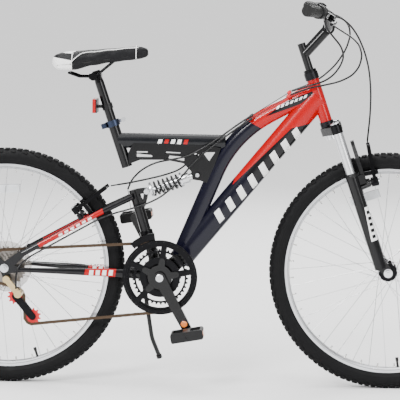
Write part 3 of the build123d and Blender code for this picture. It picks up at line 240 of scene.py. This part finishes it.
def reflector(name, color):
    s = Shader(name, color, 0.12, 0.0, 0.8)
    cells = s.new("ShaderNodeTexVoronoi")
    cells.inputs["Scale"].default_value = 380
    s.link(s.place, cells.inputs["Vector"])
    s.tint(60, 0.25)
    return s.bump(cells.outputs["Distance"], 0.002, 0.7).mat


amber_lens = reflector("amber_lens", (0.9, 0.22, 0.01))
clear_lens = reflector("clear_lens", (0.62, 0.64, 0.66))

rubber = Shader("tyre_rubber", (0.0028, 0.0028, 0.0032), 0.6, specular=0.14)
rubber.vary(70, 0.12).tint(30, 0.2)
rubber.bump(rubber.noise(700), 0.0006, 0.35)
rubber = rubber.mat


def ribbed(name, color, pitch, depth, rough=0.6):
    """Rings round a grip that lies mostly along Y."""
    s = Shader(name, color, rough, specular=0.3)
    s.vary(80, 0.1).tint(30, 0.15)
    wave = s.math("SINE", s.math("MULTIPLY", s.y, 2 * pi / pitch))
    return s.bump(wave, depth, 0.8).mat


grip_rubber = ribbed("grip_rubber", (0.003, 0.003, 0.003), 0.006, 0.001)
shifter_rubber = ribbed("shifter_rubber", (0.004, 0.004, 0.0045), 0.0034, 0.0008, 0.5)

# ---- frame paint, its graphics and a painted highlight --------------------------------------
upper = paint("upper_tube_paint", FRAME_BLUE)
upper.cover(upper.above((0.126, 0.752), (0.186, 0.718)), RED)
# painted highlight: a white stripe along the top edge of the upper tube
upper.cover(upper.shape((0.166, 0.7715), (0.244, 0.8095), (0.241, 0.822), (0.160, 0.786)), WHITE)
panel = upper.shape((0.176, 0.748), (0.262, 0.784), (0.322, 0.806), (0.316, 0.829), (0.245, 0.800))
upper.cover(panel, BLACK)
for i in range(7):
    x, z = 0.216 + i * 0.0125, 0.7765 + i * 0.0052
    bar = upper.shape((x, z), (x + 0.008, z + 0.0033), (x + 0.0115, z + 0.0123), (x + 0.0035, z + 0.009))
    upper.cover(bar, WHITE)
upper_paint = upper.mat

down = paint("down_tube_paint", FRAME_BLUE)
underside = down.shape((0.150, 0.560), (0.320, 0.700), (0.400, 0.800), (0.300, 0.900), (0.130, 0.640))
down.cover(underside, BLACK)
swoosh = down.shape((0.098, 0.566), (0.262, 0.728), (0.247, 0.782), (0.188, 0.732), (0.128, 0.664))
down.cover(swoosh, RED)
down.cover(down.above((0.238, 0.760), (0.320, 0.745)), RED)
down.cover(down.above((0.262, 0.726), (0.320, 0.742)), RED)
BAR_FROM, BAR_STEP = Vector((0.2800, 0.7130)), Vector((-0.0304, -0.0326))
BAR_SLANT, BAR_WIDTH = 0.006, 0.020
along = BAR_STEP.normalized()
rise = Vector((-0.0205, 0.0255))
for i in range(8):
    low = BAR_FROM + BAR_STEP * i - rise * 0.5
    high = low + rise - along * BAR_SLANT
    corners = [low, high, high + along * BAR_WIDTH, low + along * BAR_WIDTH]
    down.cover(down.shape(*[(c[0], c[1]) for c in corners]), WHITE)
down_paint = down.mat

rear_top = paint("rear_top_paint", (0.004, 0.0045, 0.006))
for i in range(5):
    x = -0.112 + i * 0.018
    tone = RED if i in (1, 4) else WHITE
    bar = rear_top.shape((x, 0.677), (x + 0.011, 0.677), (x + 0.015, 0.690), (x + 0.004, 0.690))
    rear_top.cover(bar, tone)
rear_top_paint = rear_top.mat

stay = paint("seat_stay_paint", (0.003, 0.003, 0.004))
stay.cover(stay.shape((-0.430, 0.386), (-0.256, 0.480), (-0.262, 0.498), (-0.440, 0.400)), RED)
for i in range(6):
    x, z = -0.380 + i * 0.016, 0.4195 + i * 0.0088
    bar = stay.shape((x, z), (x + 0.010, z + 0.0055), (x + 0.0085, z + 0.0115), (x - 0.0015, z + 0.006))
    stay.cover(bar, WHITE)
stay_paint = stay.mat

chain_stay = paint("chain_stay_paint", (0.003, 0.003, 0.004))
chain_stay.cover(chain_stay.shape((-0.312, 0.306), (-0.226, 0.303), (-0.222, 0.330), (-0.308, 0.328)), RED)
for i in range(4):
    x = -0.298 + i * 0.018
    bar = chain_stay.shape((x, 0.310), (x + 0.011, 0.310), (x + 0.013, 0.325), (x + 0.002, 0.325))
    chain_stay.cover(bar, WHITE)
chain_stay_paint = chain_stay.mat

fork_paint = paint("fork_leg_paint", (0.003, 0.003, 0.0035))
fork_paint.cover(fork_paint.shape((0.484, 0.420), (0.502, 0.426), (0.480, 0.520), (0.463, 0.514)), WHITE)
for i in range(5):
    x, z = 0.4905 - i * 0.0042, 0.430 + i * 0.0165
    bar = fork_paint.shape((x - 0.003, z - 0.001), (x + 0.006, z + 0.002), (x + 0.0035, z + 0.011),
                           (x - 0.0055, z + 0.008))
    fork_paint.cover(bar, BLACK)
fork_leg_paint = fork_paint.mat
red_paint = paint("red_gloss", RED).mat

crown = Shader("crown_and_stanchions", (0.014, 0.014, 0.015), 0.3, 1.0)
crown.vary(60, 0.1).tint(20, 0.1)
CROWN_RISE = 0.412
crown_front = HUBS["front"] + STEER_UP * CROWN_RISE + STEER_AHEAD
crown_back = HUBS["front"] + STEER_UP * CROWN_RISE - STEER_AHEAD
below_crown = crown.above((crown_front.x, crown_front.z), (crown_back.x, crown_back.z))
crown.cover(below_crown, CHROMED)
crown_mat = crown.mat

fittings = Shader("cups_bolts_and_collar", (0.02, 0.02, 0.022), 0.34, 1.0)
fittings.vary(60, 0.1).tint(20, 0.12)
fittings.cover(fittings.above((-0.2, 0.5), (-0.2, 0.9)), (0.035, 0.045, 0.075))
fittings_mat = fittings.mat

lamp = Shader("reflector_holder", (0.004, 0.004, 0.0045), 0.35, specular=0.3)
lamp.vary(60, 0.1).tint(30, 0.1)
lamp.cover(lamp.above((-0.2835, 0.7), (-0.2835, 0.9)), RED)
lamp_mat = lamp.mat

MATERIALS = {
    "down_tube": down_paint, "upper_tube": upper_paint, "head_tube": red_paint,
    "seat_mast": black_paint, "rear_top_tube": rear_top_paint, "gusset_plates": black_paint,
    "frame_fittings": fittings_mat, "frame_cables": housing, "seat_post": black_paint,
    "saddle_rails": black_metal, "saddle_shell": black_plastic, "rear_reflector": lamp_mat,
    "seat_clamp_lever": chrome, "upright_tube": black_paint, "swingarm_fasteners": alloy,
    "chain_stays": chain_stay_paint, "seat_stays": stay_paint, "chain": chain_steel,
    "rear_derailleur": gold, "front_derailleur": black_metal, "shock_body": alloy, "shock_shaft": alloy,
    "chainrings": black_metal, "right_crank": black_paint, "left_crank": black_paint,
    "right_pedal": black_plastic, "left_pedal": black_plastic, "freewheel": cog_steel,
    "rear_hub": black_metal, "front_hub": black_metal, "rear_rim": alloy, "front_rim": alloy,
    "front_spokes": spoke_steel, "rear_spokes": spoke_steel, "derailleur_cage": black_metal,
    "guide_pulley": red_plastic, "tension_pulley": red_plastic, "kickstand_leg": black_paint,
    "fork_crown": crown_mat, "stem": black_paint, "handlebar": black_paint,
    "handlebar_grips": grip_rubber, "lever_mounts": black_metal, "right_twist_shifter": shifter_rubber,
    "left_twist_shifter": shifter_rubber, "right_brake_lever": black_metal,
    "left_brake_lever": black_metal, "fork_lowers": fork_leg_paint, "front_axle": chrome,
    "front_brake_arm_right": black_metal, "front_brake_arm_left": black_metal,
    "rear_brake_arm_right": black_metal, "rear_brake_arm_left": black_metal,
}
for name, material in MATERIALS.items():
    mesh = nodes[name].data
    mesh.materials.clear()
    mesh.materials.append(material)


# ---- mesh helpers ---------------------------------------------------------------------------
def piece(name, verts, faces, material, smooth=True):
    mesh = bpy.data.meshes.new(name)
    mesh.from_pydata([tuple(v) for v in verts], [], faces)
    mesh.materials.append(material)
    mesh.validate()
    for polygon in mesh.polygons:
        polygon.use_smooth = smooth
    obj = bpy.data.objects.new(name, mesh)
    bpy.context.scene.collection.objects.link(obj)
    return obj


def circle(centre, u, v, radius, sides):
    """Points round a centre, from u towards v."""
    turns = [2 * pi * k / sides for k in range(sides)]
    return [centre + (u * cos(turn) + v * sin(turn)) * radius for turn in turns]


def loops(rings, closed_along, closed_round, verts, faces):
    """Skin a list of equal vertex rings."""
    start = len(verts)
    size = len(rings[0])
    for ring in rings:
        verts.extend(ring)
    count = len(rings)
    for i in range(count if closed_along else count - 1):
        for j in range(size if closed_round else size - 1):
            a, b = start + i * size, start + ((i + 1) % count) * size
            k = (j + 1) % size
            faces.append((a + j, a + k, b + k, b + j))


def box_faces(verts, faces, corners):
    start = len(verts)
    verts.extend(corners)
    for quad in ((0, 1, 2, 3), (7, 6, 5, 4), (0, 4, 5, 1), (1, 5, 6, 2), (2, 6, 7, 3), (3, 7, 4, 0)):
        faces.append(tuple(start + q for q in quad))


def brick(verts, faces, centre, along, across, out, size, taper=0.86):
    """Block with its outer face a little smaller than its root."""
    corners = []
    for level, scale in ((-0.5, 1.0), (0.5, taper)):
        for sx, sy in ((-1, -1), (1, -1), (1, 1), (-1, 1)):
            corners.append(centre + along * (sx * size[0] / 2 * scale) + across * (sy * size[1] / 2 * scale)
                           + out * (level * size[2]))
    box_faces(verts, faces, corners)


def cylinder(verts, faces, a, b, radius, sides=12):
    axis = (b - a).normalized()
    u = axis.orthogonal().normalized()
    v = axis.cross(u)
    rings = [circle(p, u, v, radius, sides) for p in (a, b)]
    start = len(verts)
    loops(rings, False, True, verts, faces)
    faces.append(tuple(start + k for k in range(sides)))
    faces.append(tuple(start + sides + k for k in reversed(range(sides))))


# ---- tyres ----------------------------------------------------------------------------------
# half of the casing's outline, bead to crown: radius from the hub, distance from the wheel's plane
CARCASS = [(0.2838, 0.0128), (0.2880, 0.0155), (0.2945, 0.0205), (0.3040, 0.0232), (0.3120, 0.0229),
           (0.3185, 0.0205), (0.3230, 0.0165), (0.3262, 0.0110), (0.3272, 0.0050)]
SECTION = CARCASS + [(r, -y) for r, y in reversed(CARCASS)]
PITCHES = 58
VALVE_ANGLES = {"front": radians(-83), "rear": radians(-72)}
RIB_LINES = [(0.2985, 0.0219), (0.3085, 0.0232)]
# for each row of blocks: y, radius of the block's middle, lean of its normal from the wheel's plane in
# degrees, length, width, height, and how far round it is shifted, in pitches
TREAD = [(0.0044, 0.3284, 0, 0.0150, 0.0070, 0.0030, 0.0), (0.0122, 0.3270, 14, 0.0120, 0.0068, 0.0042, 0.5),
         (0.0186, 0.3216, 46, 0.0140, 0.0070, 0.0046, 0.0), (0.0222, 0.3150, 72, 0.0060, 0.0060, 0.0016, 0.5)]


def tyre(label):
    hub = HUBS[label]
    verts, faces = [], []
    rings = []
    for k in range(144):
        out = direction(2 * pi * k / 144)
        rings.append([hub + out * r + sideways(y) for r, y in SECTION])
    loops(rings, True, True, verts, faces)
    body = piece(f"{label}_tyre_casing", verts, faces, rubber)
    verts, faces = [], []
    for k in range(PITCHES):
        for y, r, tip, length, width, height, phase in TREAD:
            for way in (-1, 1):
                angle = 2 * pi * (k + phase + (0.5 if way > 0 else 0)) / PITCHES
                out = direction(angle)
                along = Vector((-out.z, 0, out.x))
                normal = out * cos(radians(tip)) + sideways(way * sin(radians(tip)))
                across = normal.cross(along)
                turned = (along + across * 0.28 * way).normalized()
                middle = hub + out * r + sideways(way * y)
                brick(verts, faces, middle, turned, normal.cross(turned), normal, (length, width, height))
    tread = piece(f"{label}_tyre_tread", verts, faces, rubber, False)
    out = direction(VALVE_ANGLES[label])
    verts, faces = [], []
    cylinder(verts, faces, hub + out * 0.279, hub + out * 0.252, 0.0035)
    cylinder(verts, faces, hub + out * 0.255, hub + out * 0.246, 0.0045)
    valve = piece(f"{label}_valve", verts, faces, black_plastic)
    verts, faces = [], []
    for way in (-1, 1):
        for line_r, y in RIB_LINES:
            rings = []
            for k in range(96):
                out = direction(2 * pi * k / 96)
                rings.append([hub + out * (line_r + dr) + sideways(way * (y + dy))
                              for dr, dy in ((-0.0012, 0), (0, 0.0007), (0.0012, 0))])
            loops(rings, True, False, verts, faces)
    ribs = piece(f"{label}_tyre_ribs", verts, faces, rubber)
    for obj in (body, tread, valve, ribs):
        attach(obj, f"{label}_wheel")
    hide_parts(f"{label}_tyre")


tyre("front")
tyre("rear")


# ---- wheel details --------------------------------------------------------------------------
def wheel_details(label, reflector_angle):
    hub = HUBS[label]
    verts, faces = [], []
    for k in range(36):
        out = direction(2 * pi * (k + 0.5) / 36)
        cylinder(verts, faces, hub + out * 0.2735, hub + out * 0.262, 0.0021, 8)
    nipples = piece(f"{label}_nipples", verts, faces, brass_nipple)
    verts, faces = [], []
    out = direction(reflector_angle)
    along = Vector((-out.z, 0, out.x))
    brick(verts, faces, hub + out * 0.215, along, out, Vector((0, -1, 0)), (0.086, 0.024, 0.010), 0.94)
    lens = piece(f"{label}_spoke_reflector", verts, faces, clear_lens, False)
    verts, faces = [], []
    for way in (-1, 1):
        rings = []
        for k in range(96):
            out = direction(2 * pi * k / 96)
            rings.append([hub + out * r + sideways(way * y) for r, y in
                          ((0.2775, 0.01505), (0.2778, 0.01525), (0.2782, 0.01525), (0.2785, 0.01505))])
        loops(rings, True, False, verts, faces)
    line = piece(f"{label}_rim_wear_line", verts, faces, black_metal)
    for obj, name in ((nipples, "chrome"), (lens, "rim_metal"), (line, "black_metal")):
        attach(obj, f"{label}_wheel")


wheel_details("front", radians(108))
wheel_details("rear", radians(92))

verts, faces = [], []
rings = []
for k in range(72):
    angle = 2 * pi * k / 72
    out = direction(angle)
    wave = 0.0008 * sin(angle * 18)
    rings.append([HUBS["rear"] + out * r + sideways(y) for r, y in
                  ((0.0185, -0.0320), (0.060, -0.0322), (0.0712 + wave, -0.0310), (0.0712 + wave, -0.0302),
                   (0.060, -0.0312), (0.0185, -0.0310))])
loops(rings, True, True, verts, faces)
guard_disc = piece("spoke_protector", verts, faces, smoke)
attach(guard_disc, "rear_wheel")

# ---- saddle ---------------------------------------------------------------------------------
# distance ahead of the clamp, half width, height of the top's crown, height of the lower edge
SADDLE = [(-0.1125, 0.0440, 0.0560, 0.0335), (-0.1050, 0.0600, 0.0620, 0.0270),
          (-0.0950, 0.0690, 0.0660, 0.0215), (-0.0500, 0.0745, 0.0690, 0.0215),
          (0.0, 0.0525, 0.0735, 0.0335), (0.050, 0.0305, 0.0785, 0.0415),
          (0.100, 0.0215, 0.0835, 0.0475), (0.128, 0.0185, 0.0850, 0.0515),
          (0.142, 0.0150, 0.0825, 0.0555), (0.1505, 0.0105, 0.0780, 0.0595)]


def between(x, column):
    for a, b in zip(SADDLE, SADDLE[1:]):
        if a[0] <= x <= b[0]:
            t = (x - a[0]) / (b[0] - a[0])
            t = t * t * (3 - 2 * t)
            return a[column] + (b[column] - a[column]) * t
    return SADDLE[0][column] if x < SADDLE[0][0] else SADDLE[-1][column]


def saddle_point(x, turn, swell=0.0):
    """A point on the pad's skin; turn runs from the right edge over the top to the left edge, 0 to pi."""
    half, top, low = between(x, 1) + swell, between(x, 2) + swell, between(x, 3)
    side_way = cos(turn)
    lift = abs(sin(turn)) ** 0.55
    dip = 0.0035 * max(0.0, 1 - abs(side_way) * 3.2) * (1 if x < 0.09 else 0)
    y = -half * (abs(side_way) ** 0.55) * (1 if side_way > 0 else -1)
    return SADDLE_CENTRE + Vector((x, y, low + (top - low) * lift - dip))


def saddle_body():
    verts, faces, rings = [], [], []
    count, around = 44, 28
    for i in range(count):
        x = SADDLE[0][0] + (SADDLE[-1][0] - SADDLE[0][0]) * i / (count - 1)
        ring = [saddle_point(x, pi * k / around, -0.0012) for k in range(around + 1)]
        ring += [Vector((ring[0].x, ring[-1].y * (1 - 2 * k / 8), ring[0].z - 0.002)) for k in range(1, 8)]
        rings.append(ring)
    loops(rings, False, True, verts, faces)
    size = len(rings[0])
    faces.append(tuple(range(size)))
    faces.append(tuple((count - 1) * size + k for k in reversed(range(size))))
    return piece("saddle_cushion", verts, faces, saddle_cover)


def as_mesh(obj):
    """Replace an object's mesh by what its modifiers make of it."""
    graph = bpy.context.evaluated_depsgraph_get()
    mesh = bpy.data.meshes.new_from_object(obj.evaluated_get(graph))
    obj.modifiers.clear()
    obj.data = mesh
    return obj


def puff(obj, cap, pressure=4.0):
    """Blow the cushion up as cloth, with its lower edge held."""
    remesh = obj.modifiers.new("Remesh", "REMESH")
    remesh.mode = "VOXEL"
    remesh.voxel_size = 0.0045
    as_mesh(obj)
    start = [v.co.copy() for v in obj.data.vertices]
    pinned = obj.vertex_groups.new(name="edge")
    held = []
    for v in obj.data.vertices:
        x = v.co.x - SADDLE_CENTRE.x
        if v.co.z < SADDLE_CENTRE.z + between(x, 3) + 0.004:
            held.append(v.index)
    pinned.add(held, 1.0, "REPLACE")
    cloth = obj.modifiers.new("Cloth", "CLOTH")
    cloth.settings.quality = 5
    cloth.settings.use_pressure = True
    cloth.settings.uniform_pressure_force = pressure
    cloth.settings.effector_weights.gravity = 0
    cloth.settings.vertex_group_mass = "edge"
    cloth.settings.tension_stiffness = 25
    cloth.settings.compression_stiffness = 25
    cloth.point_cache.frame_start = 1
    cloth.point_cache.frame_end = 20
    for number in range(1, 21):
        bpy.context.scene.frame_set(number)
    graph = bpy.context.evaluated_depsgraph_get()
    puffed = [v.co.copy() for v in obj.evaluated_get(graph).data.vertices]
    obj.modifiers.clear()
    bpy.context.scene.frame_set(1)
    for v, a, b in zip(obj.data.vertices, start, puffed):
        move = b - a
        if move.length > cap:
            move = move.normalized() * cap
        v.co = a + move


cover = Shader("saddle_cover", (0.003, 0.003, 0.004), 0.5, specular=0.18)
cover.vary(90, 0.08).tint(30, 0.15)
white_back = cover.above((-0.3495, 0.80), (-0.3400, 1.0))
cover.cover(white_back, WHITE)
wedge = cover.shape((-0.430, 0.9215), (-0.345, 0.9080), (-0.345, 0.9265), (-0.430, 0.9300))
cover.cover(wedge, (0.005, 0.005, 0.006))
grain = cover.new("ShaderNodeTexVoronoi")
grain.inputs["Scale"].default_value = 900
cover.link(cover.place, grain.inputs["Vector"])
cover.bump(grain.outputs["Distance"], 0.0004, 0.25)
saddle_cover = cover.mat

cushion = saddle_body()
puff(cushion, 0.0035)
smooth = cushion.modifiers.new("Smooth", "SMOOTH")
smooth.iterations = 3
subdivide = cushion.modifiers.new("Subdivision", "SUBSURF")
subdivide.levels = 1
subdivide.render_levels = 1
as_mesh(cushion)
for polygon in cushion.data.polygons:
    polygon.use_smooth = True
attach(cushion, "seat")
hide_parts("saddle_pad")


def tube_along(name, points, radius, material, sides=10, closed=False):
    """Round tube through a list of points."""
    verts, faces, rings = [], [], []
    normal = None
    count = len(points)
    for i, p in enumerate(points):
        ahead = points[(i + 1) % count] if closed or i < count - 1 else p
        behind = points[i - 1] if closed or i > 0 else p
        direction = (ahead - behind).normalized()
        if normal is None:
            normal = direction.orthogonal().normalized()
        normal = (normal - direction * normal.dot(direction)).normalized()
        other = direction.cross(normal)
        rings.append(circle(p, normal, other, radius, sides))
    loops(rings, closed, True, verts, faces)
    if not closed:
        faces.append(tuple(range(sides)))
        faces.append(tuple((count - 1) * sides + k for k in reversed(range(sides))))
    return piece(name, verts, faces, material)


def piping(name, way):
    """White cord sewn along one side of the saddle, from the white panel to the nose."""
    points = []
    for i in range(40):
        t = i / 39
        x = -0.054 + 0.178 * t
        turn = 0.25 + 0.62 * min(1.0, t * 7)
        points.append(saddle_point(x, turn if way < 0 else pi - turn, 0.0016))
    obj = tube_along(name, points, 0.0011, piping_mat)
    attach(obj, "seat")


piping("saddle_piping_right", -1)
piping("saddle_piping_left", 1)
nose_points = [saddle_point(0.118, pi * k / 24, 0.0014) for k in range(25)]
nose_ring = tube_along("saddle_nose_piping", nose_points, 0.0012, piping_mat)
seam_points = [saddle_point(-0.055, pi * k / 24, 0.0012) for k in range(25)]
panel_seam = tube_along("saddle_panel_seam", seam_points, 0.0009, piping_mat)
for obj in (nose_ring, panel_seam):
    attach(obj, "seat")


# ---- copies of the cable housings and the coil spring ---------------------------------------
def copy_of(node, name, material):
    """The CAD node's own shape as a new piece with its own material, the node hidden."""
    obj = bpy.data.objects.new(name, nodes[node].data.copy())
    bpy.context.scene.collection.objects.link(obj)
    obj.data.materials.clear()
    obj.data.materials.append(material)
    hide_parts(node)
    return obj


front_cables = copy_of("front_control_cables", "control_housings_front", housing)
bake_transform(front_cables)
rear_cables = copy_of("rear_control_cables", "control_housings_rear", housing)
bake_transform(rear_cables)
brake_cable = copy_of("front_brake_cable", "front_brake_housing", housing)
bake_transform(brake_cable)

spring_paint = paint("black_spring", (0.012, 0.012, 0.013), 0.3).mat
spring = copy_of("shock_spring", "coil_spring", spring_paint)
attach(spring, "damper")
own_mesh(spring)


# ---- small fittings -------------------------------------------------------------------------
def bolts(name, body, places, radius, height, material, axis=Vector((0, -1, 0)), socket=0.45):
    """Socket-headed bolts: a round head with a round recessed socket."""
    verts, faces = [], []
    u = axis.orthogonal().normalized()
    v = axis.cross(u)
    for place in places:
        profile = [(radius * 0.96, 0.0), (radius, height * 0.2), (radius, height * 0.75),
                   (radius * 0.86, height), (radius * socket, height), (radius * socket, height * 0.4),
                   (0.0001, height * 0.4)]
        rings = [circle(place + axis * h, u, v, r, 18) for r, h in profile]
        loops(rings, False, True, verts, faces)
    obj = piece(name, verts, faces, material, False)
    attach(obj, body)
    return obj


def lens(name, body, centre, along, out, size, material, slot_name):
    verts, faces = [], []
    brick(verts, faces, centre, along, out.cross(along), out, size, 0.92)
    obj = piece(name, verts, faces, material, False)
    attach(obj, body)
    return obj


crank_arm = direction(CRANK_ANGLE) * CRANK_LENGTH + sideways(-PEDAL_CENTRE_Y)
pedal_along = direction(PEDAL_TILT)
for label, centre in (("right", BRACKET + crank_arm), ("left", BRACKET - crank_arm)):
    for way, word in ((1, "front"), (-1, "rear")):
        place = centre + pedal_along * (way * 0.0445)
        lens(f"{label}_pedal_{word}_reflector", f"{label}_pedal", place, LEFT_HAND, pedal_along * way,
             (0.042, 0.012, 0.0025), amber_lens, "red_plastic")

GUARD_FACE = -0.0642               # outer face of the chain guard
disc_place = BRACKET + direction(CRANK_ANGLE) * 0.145 + sideways(-0.0788)
bolts("crank_reflector_disc", "cranks", [disc_place], 0.009, 0.0022, amber_lens, socket=0.8)
bolts("crank_bolt", "cranks", [BRACKET + sideways(-0.0800)], 0.0105, 0.0025, alloy)
ring_turns = [2 * pi * k / 5 + CRANK_ANGLE for k in range(5)]
ring_places = [BRACKET + direction(turn) * 0.046 + sideways(GUARD_FACE) for turn in ring_turns]
bolts("chainring_bolts", "cranks", ring_places, 0.0045, 0.0016, alloy)
stud_places = [BRACKET + direction(2 * pi * k / 30) * 0.0985 + sideways(GUARD_FACE) for k in range(30)]
bolts("guard_studs", "cranks", stud_places, 0.0016, 0.0008, black_plastic, socket=0.2)
bolts("shock_bolt_heads", "frame", [SHOCK_FRONT + sideways(-0.0205)], 0.006, 0.004, alloy)

# brake bosses: where they stand between the two sides, and the way they point
BOSSES = {"front": (Vector((0.48036, 0, 0.57716)), Vector((0.97887, 0, 0.2045))),
          "rear": (Vector((-0.32982, 0, 0.48125)), Vector((-0.59902, 0, 0.80073)))}
for label, (foot, out) in BOSSES.items():
    for word, way in (("right", -1), ("left", 1)):
        place = foot + sideways(way * 0.040) + out * 0.0222
        bolts(f"{label}_{word}_arm_bolt", f"{label}_arm_{word}", [place], 0.0066, 0.004, chrome,
              axis=out)

# fork: adjuster caps and wiper seals, each profile being radius and height up the leg
WIPER = [(0.0172, 0.0), (0.0176, 0.003), (0.0165, 0.0065), (0.0145, 0.010), (0.0131, 0.011), (0.0131, 0.002)]
for word, way in (("right", -1), ("left", 1)):
    leg_foot = FORK_FOOT + STEER_AHEAD * 0.021 + sideways(way * 0.060)
    bolts(f"fork_cap_{word}", "steering", [leg_foot + STEER_UP * 0.438], 0.0120, 0.0045, alloy,
          axis=STEER_UP, socket=0.5)
    verts, faces = [], []
    rings = [circle(leg_foot + STEER_UP * (0.2845 + h), STEER_AHEAD, LEFT_HAND, r, 40) for r, h in WIPER]
    loops(rings, False, True, verts, faces)
    obj = piece(f"fork_wiper_{word}", verts, faces, black_plastic)
    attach(obj, "fork_sliders")

# red ends of the cable stops on the upper tube
for number, place in enumerate([(0.2515, -0.025, 0.8243), (0.2495, -0.025, 0.8143), (0.2515, 0.025, 0.8223)]):
    direction = Vector((0.110, 0, 0.0695)).normalized()
    centre = Vector(place)
    verts, faces = [], []
    cylinder(verts, faces, centre - direction * 0.0040, centre + direction * 0.0062, 0.0047, 20)
    obj = piece(f"cable_stop_cap_{number}", verts, faces, red_plastic)
    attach(obj, "frame")

# ---- stage, light and camera ----------------------------------------------------------------
floor_shader = Shader("studio_floor", (0.86, 0.86, 0.86), 0.9)
floor_shader.tint(0.6, 0.01)
FLOOR_HALF = 300
floor_corners = [(x * FLOOR_HALF, y * FLOOR_HALF, 0) for x, y in ((-1, -1), (1, -1), (1, 1), (-1, 1))]
floor = piece("floor", floor_corners, [(0, 1, 2, 3)], floor_shader.mat)

world = bpy.data.worlds.new("studio")
bpy.context.scene.world = world
world.use_nodes = True
background = world.node_tree.nodes["Background"]
background.inputs["Color"].default_value = (1.0, 1.0, 1.0, 1)
background.inputs["Strength"].default_value = 0.5


def area_light(name, place, target, size, power):
    data = bpy.data.lights.new(name, "AREA")
    data.shape = "RECTANGLE"
    data.size, data.size_y = size
    data.energy = power
    light = bpy.data.objects.new(name, data)
    light.location = place
    light.rotation_euler = (Vector(target) - Vector(place)).to_track_quat("-Z", "Y").to_euler()
    bpy.context.scene.collection.objects.link(light)


sun_data = bpy.data.lights.new("sun", "SUN")
sun_data.energy = 3.2
sun_data.angle = radians(70)
sun = bpy.data.objects.new("sun", sun_data)
sun.rotation_euler = (radians(14), radians(-10), 0)
bpy.context.scene.collection.objects.link(sun)
area_light("key", (-2.2, -4.2, 3.6), (0, 0, 0.5), (1.6, 1.2), 300)
area_light("fill", (3.4, -3.6, 2.2), (0, 0, 0.5), (2.4, 2.0), 120)
area_light("top", (0, 0.4, 4.4), (0, 0, 0.4), (3.2, 2.2), 120)
area_light("back", (0.6, 4.0, 2.8), (0, 0, 0.6), (3.0, 1.6), 120)

# the photograph's camera, fitted to the wheels and the frame
CAMERA_PLACE = (0.3248, -6.1016, 1.1824)
YAW, PITCH, ROLL = 0.052, 0.1079, 0.0088
FOCAL_LENGTH = 198.4
view = Vector((-sin(YAW) * cos(PITCH), cos(YAW) * cos(PITCH), -sin(PITCH)))
right = Vector((cos(YAW), sin(YAW), 0))
up = right.cross(view)
right_rolled = right * cos(ROLL) + up * sin(ROLL)
up_rolled = up * cos(ROLL) - right * sin(ROLL)
camera_data = bpy.data.cameras.new("camera")
camera_data.sensor_width = 36.0
camera_data.lens = FOCAL_LENGTH
camera_data.clip_end = 100
camera = bpy.data.objects.new("camera", camera_data)
turn = Matrix((right_rolled, up_rolled, -view)).transposed().to_4x4()
camera.matrix_world = Matrix.Translation(CAMERA_PLACE) @ turn
bpy.context.scene.collection.objects.link(camera)
bpy.context.scene.camera = camera
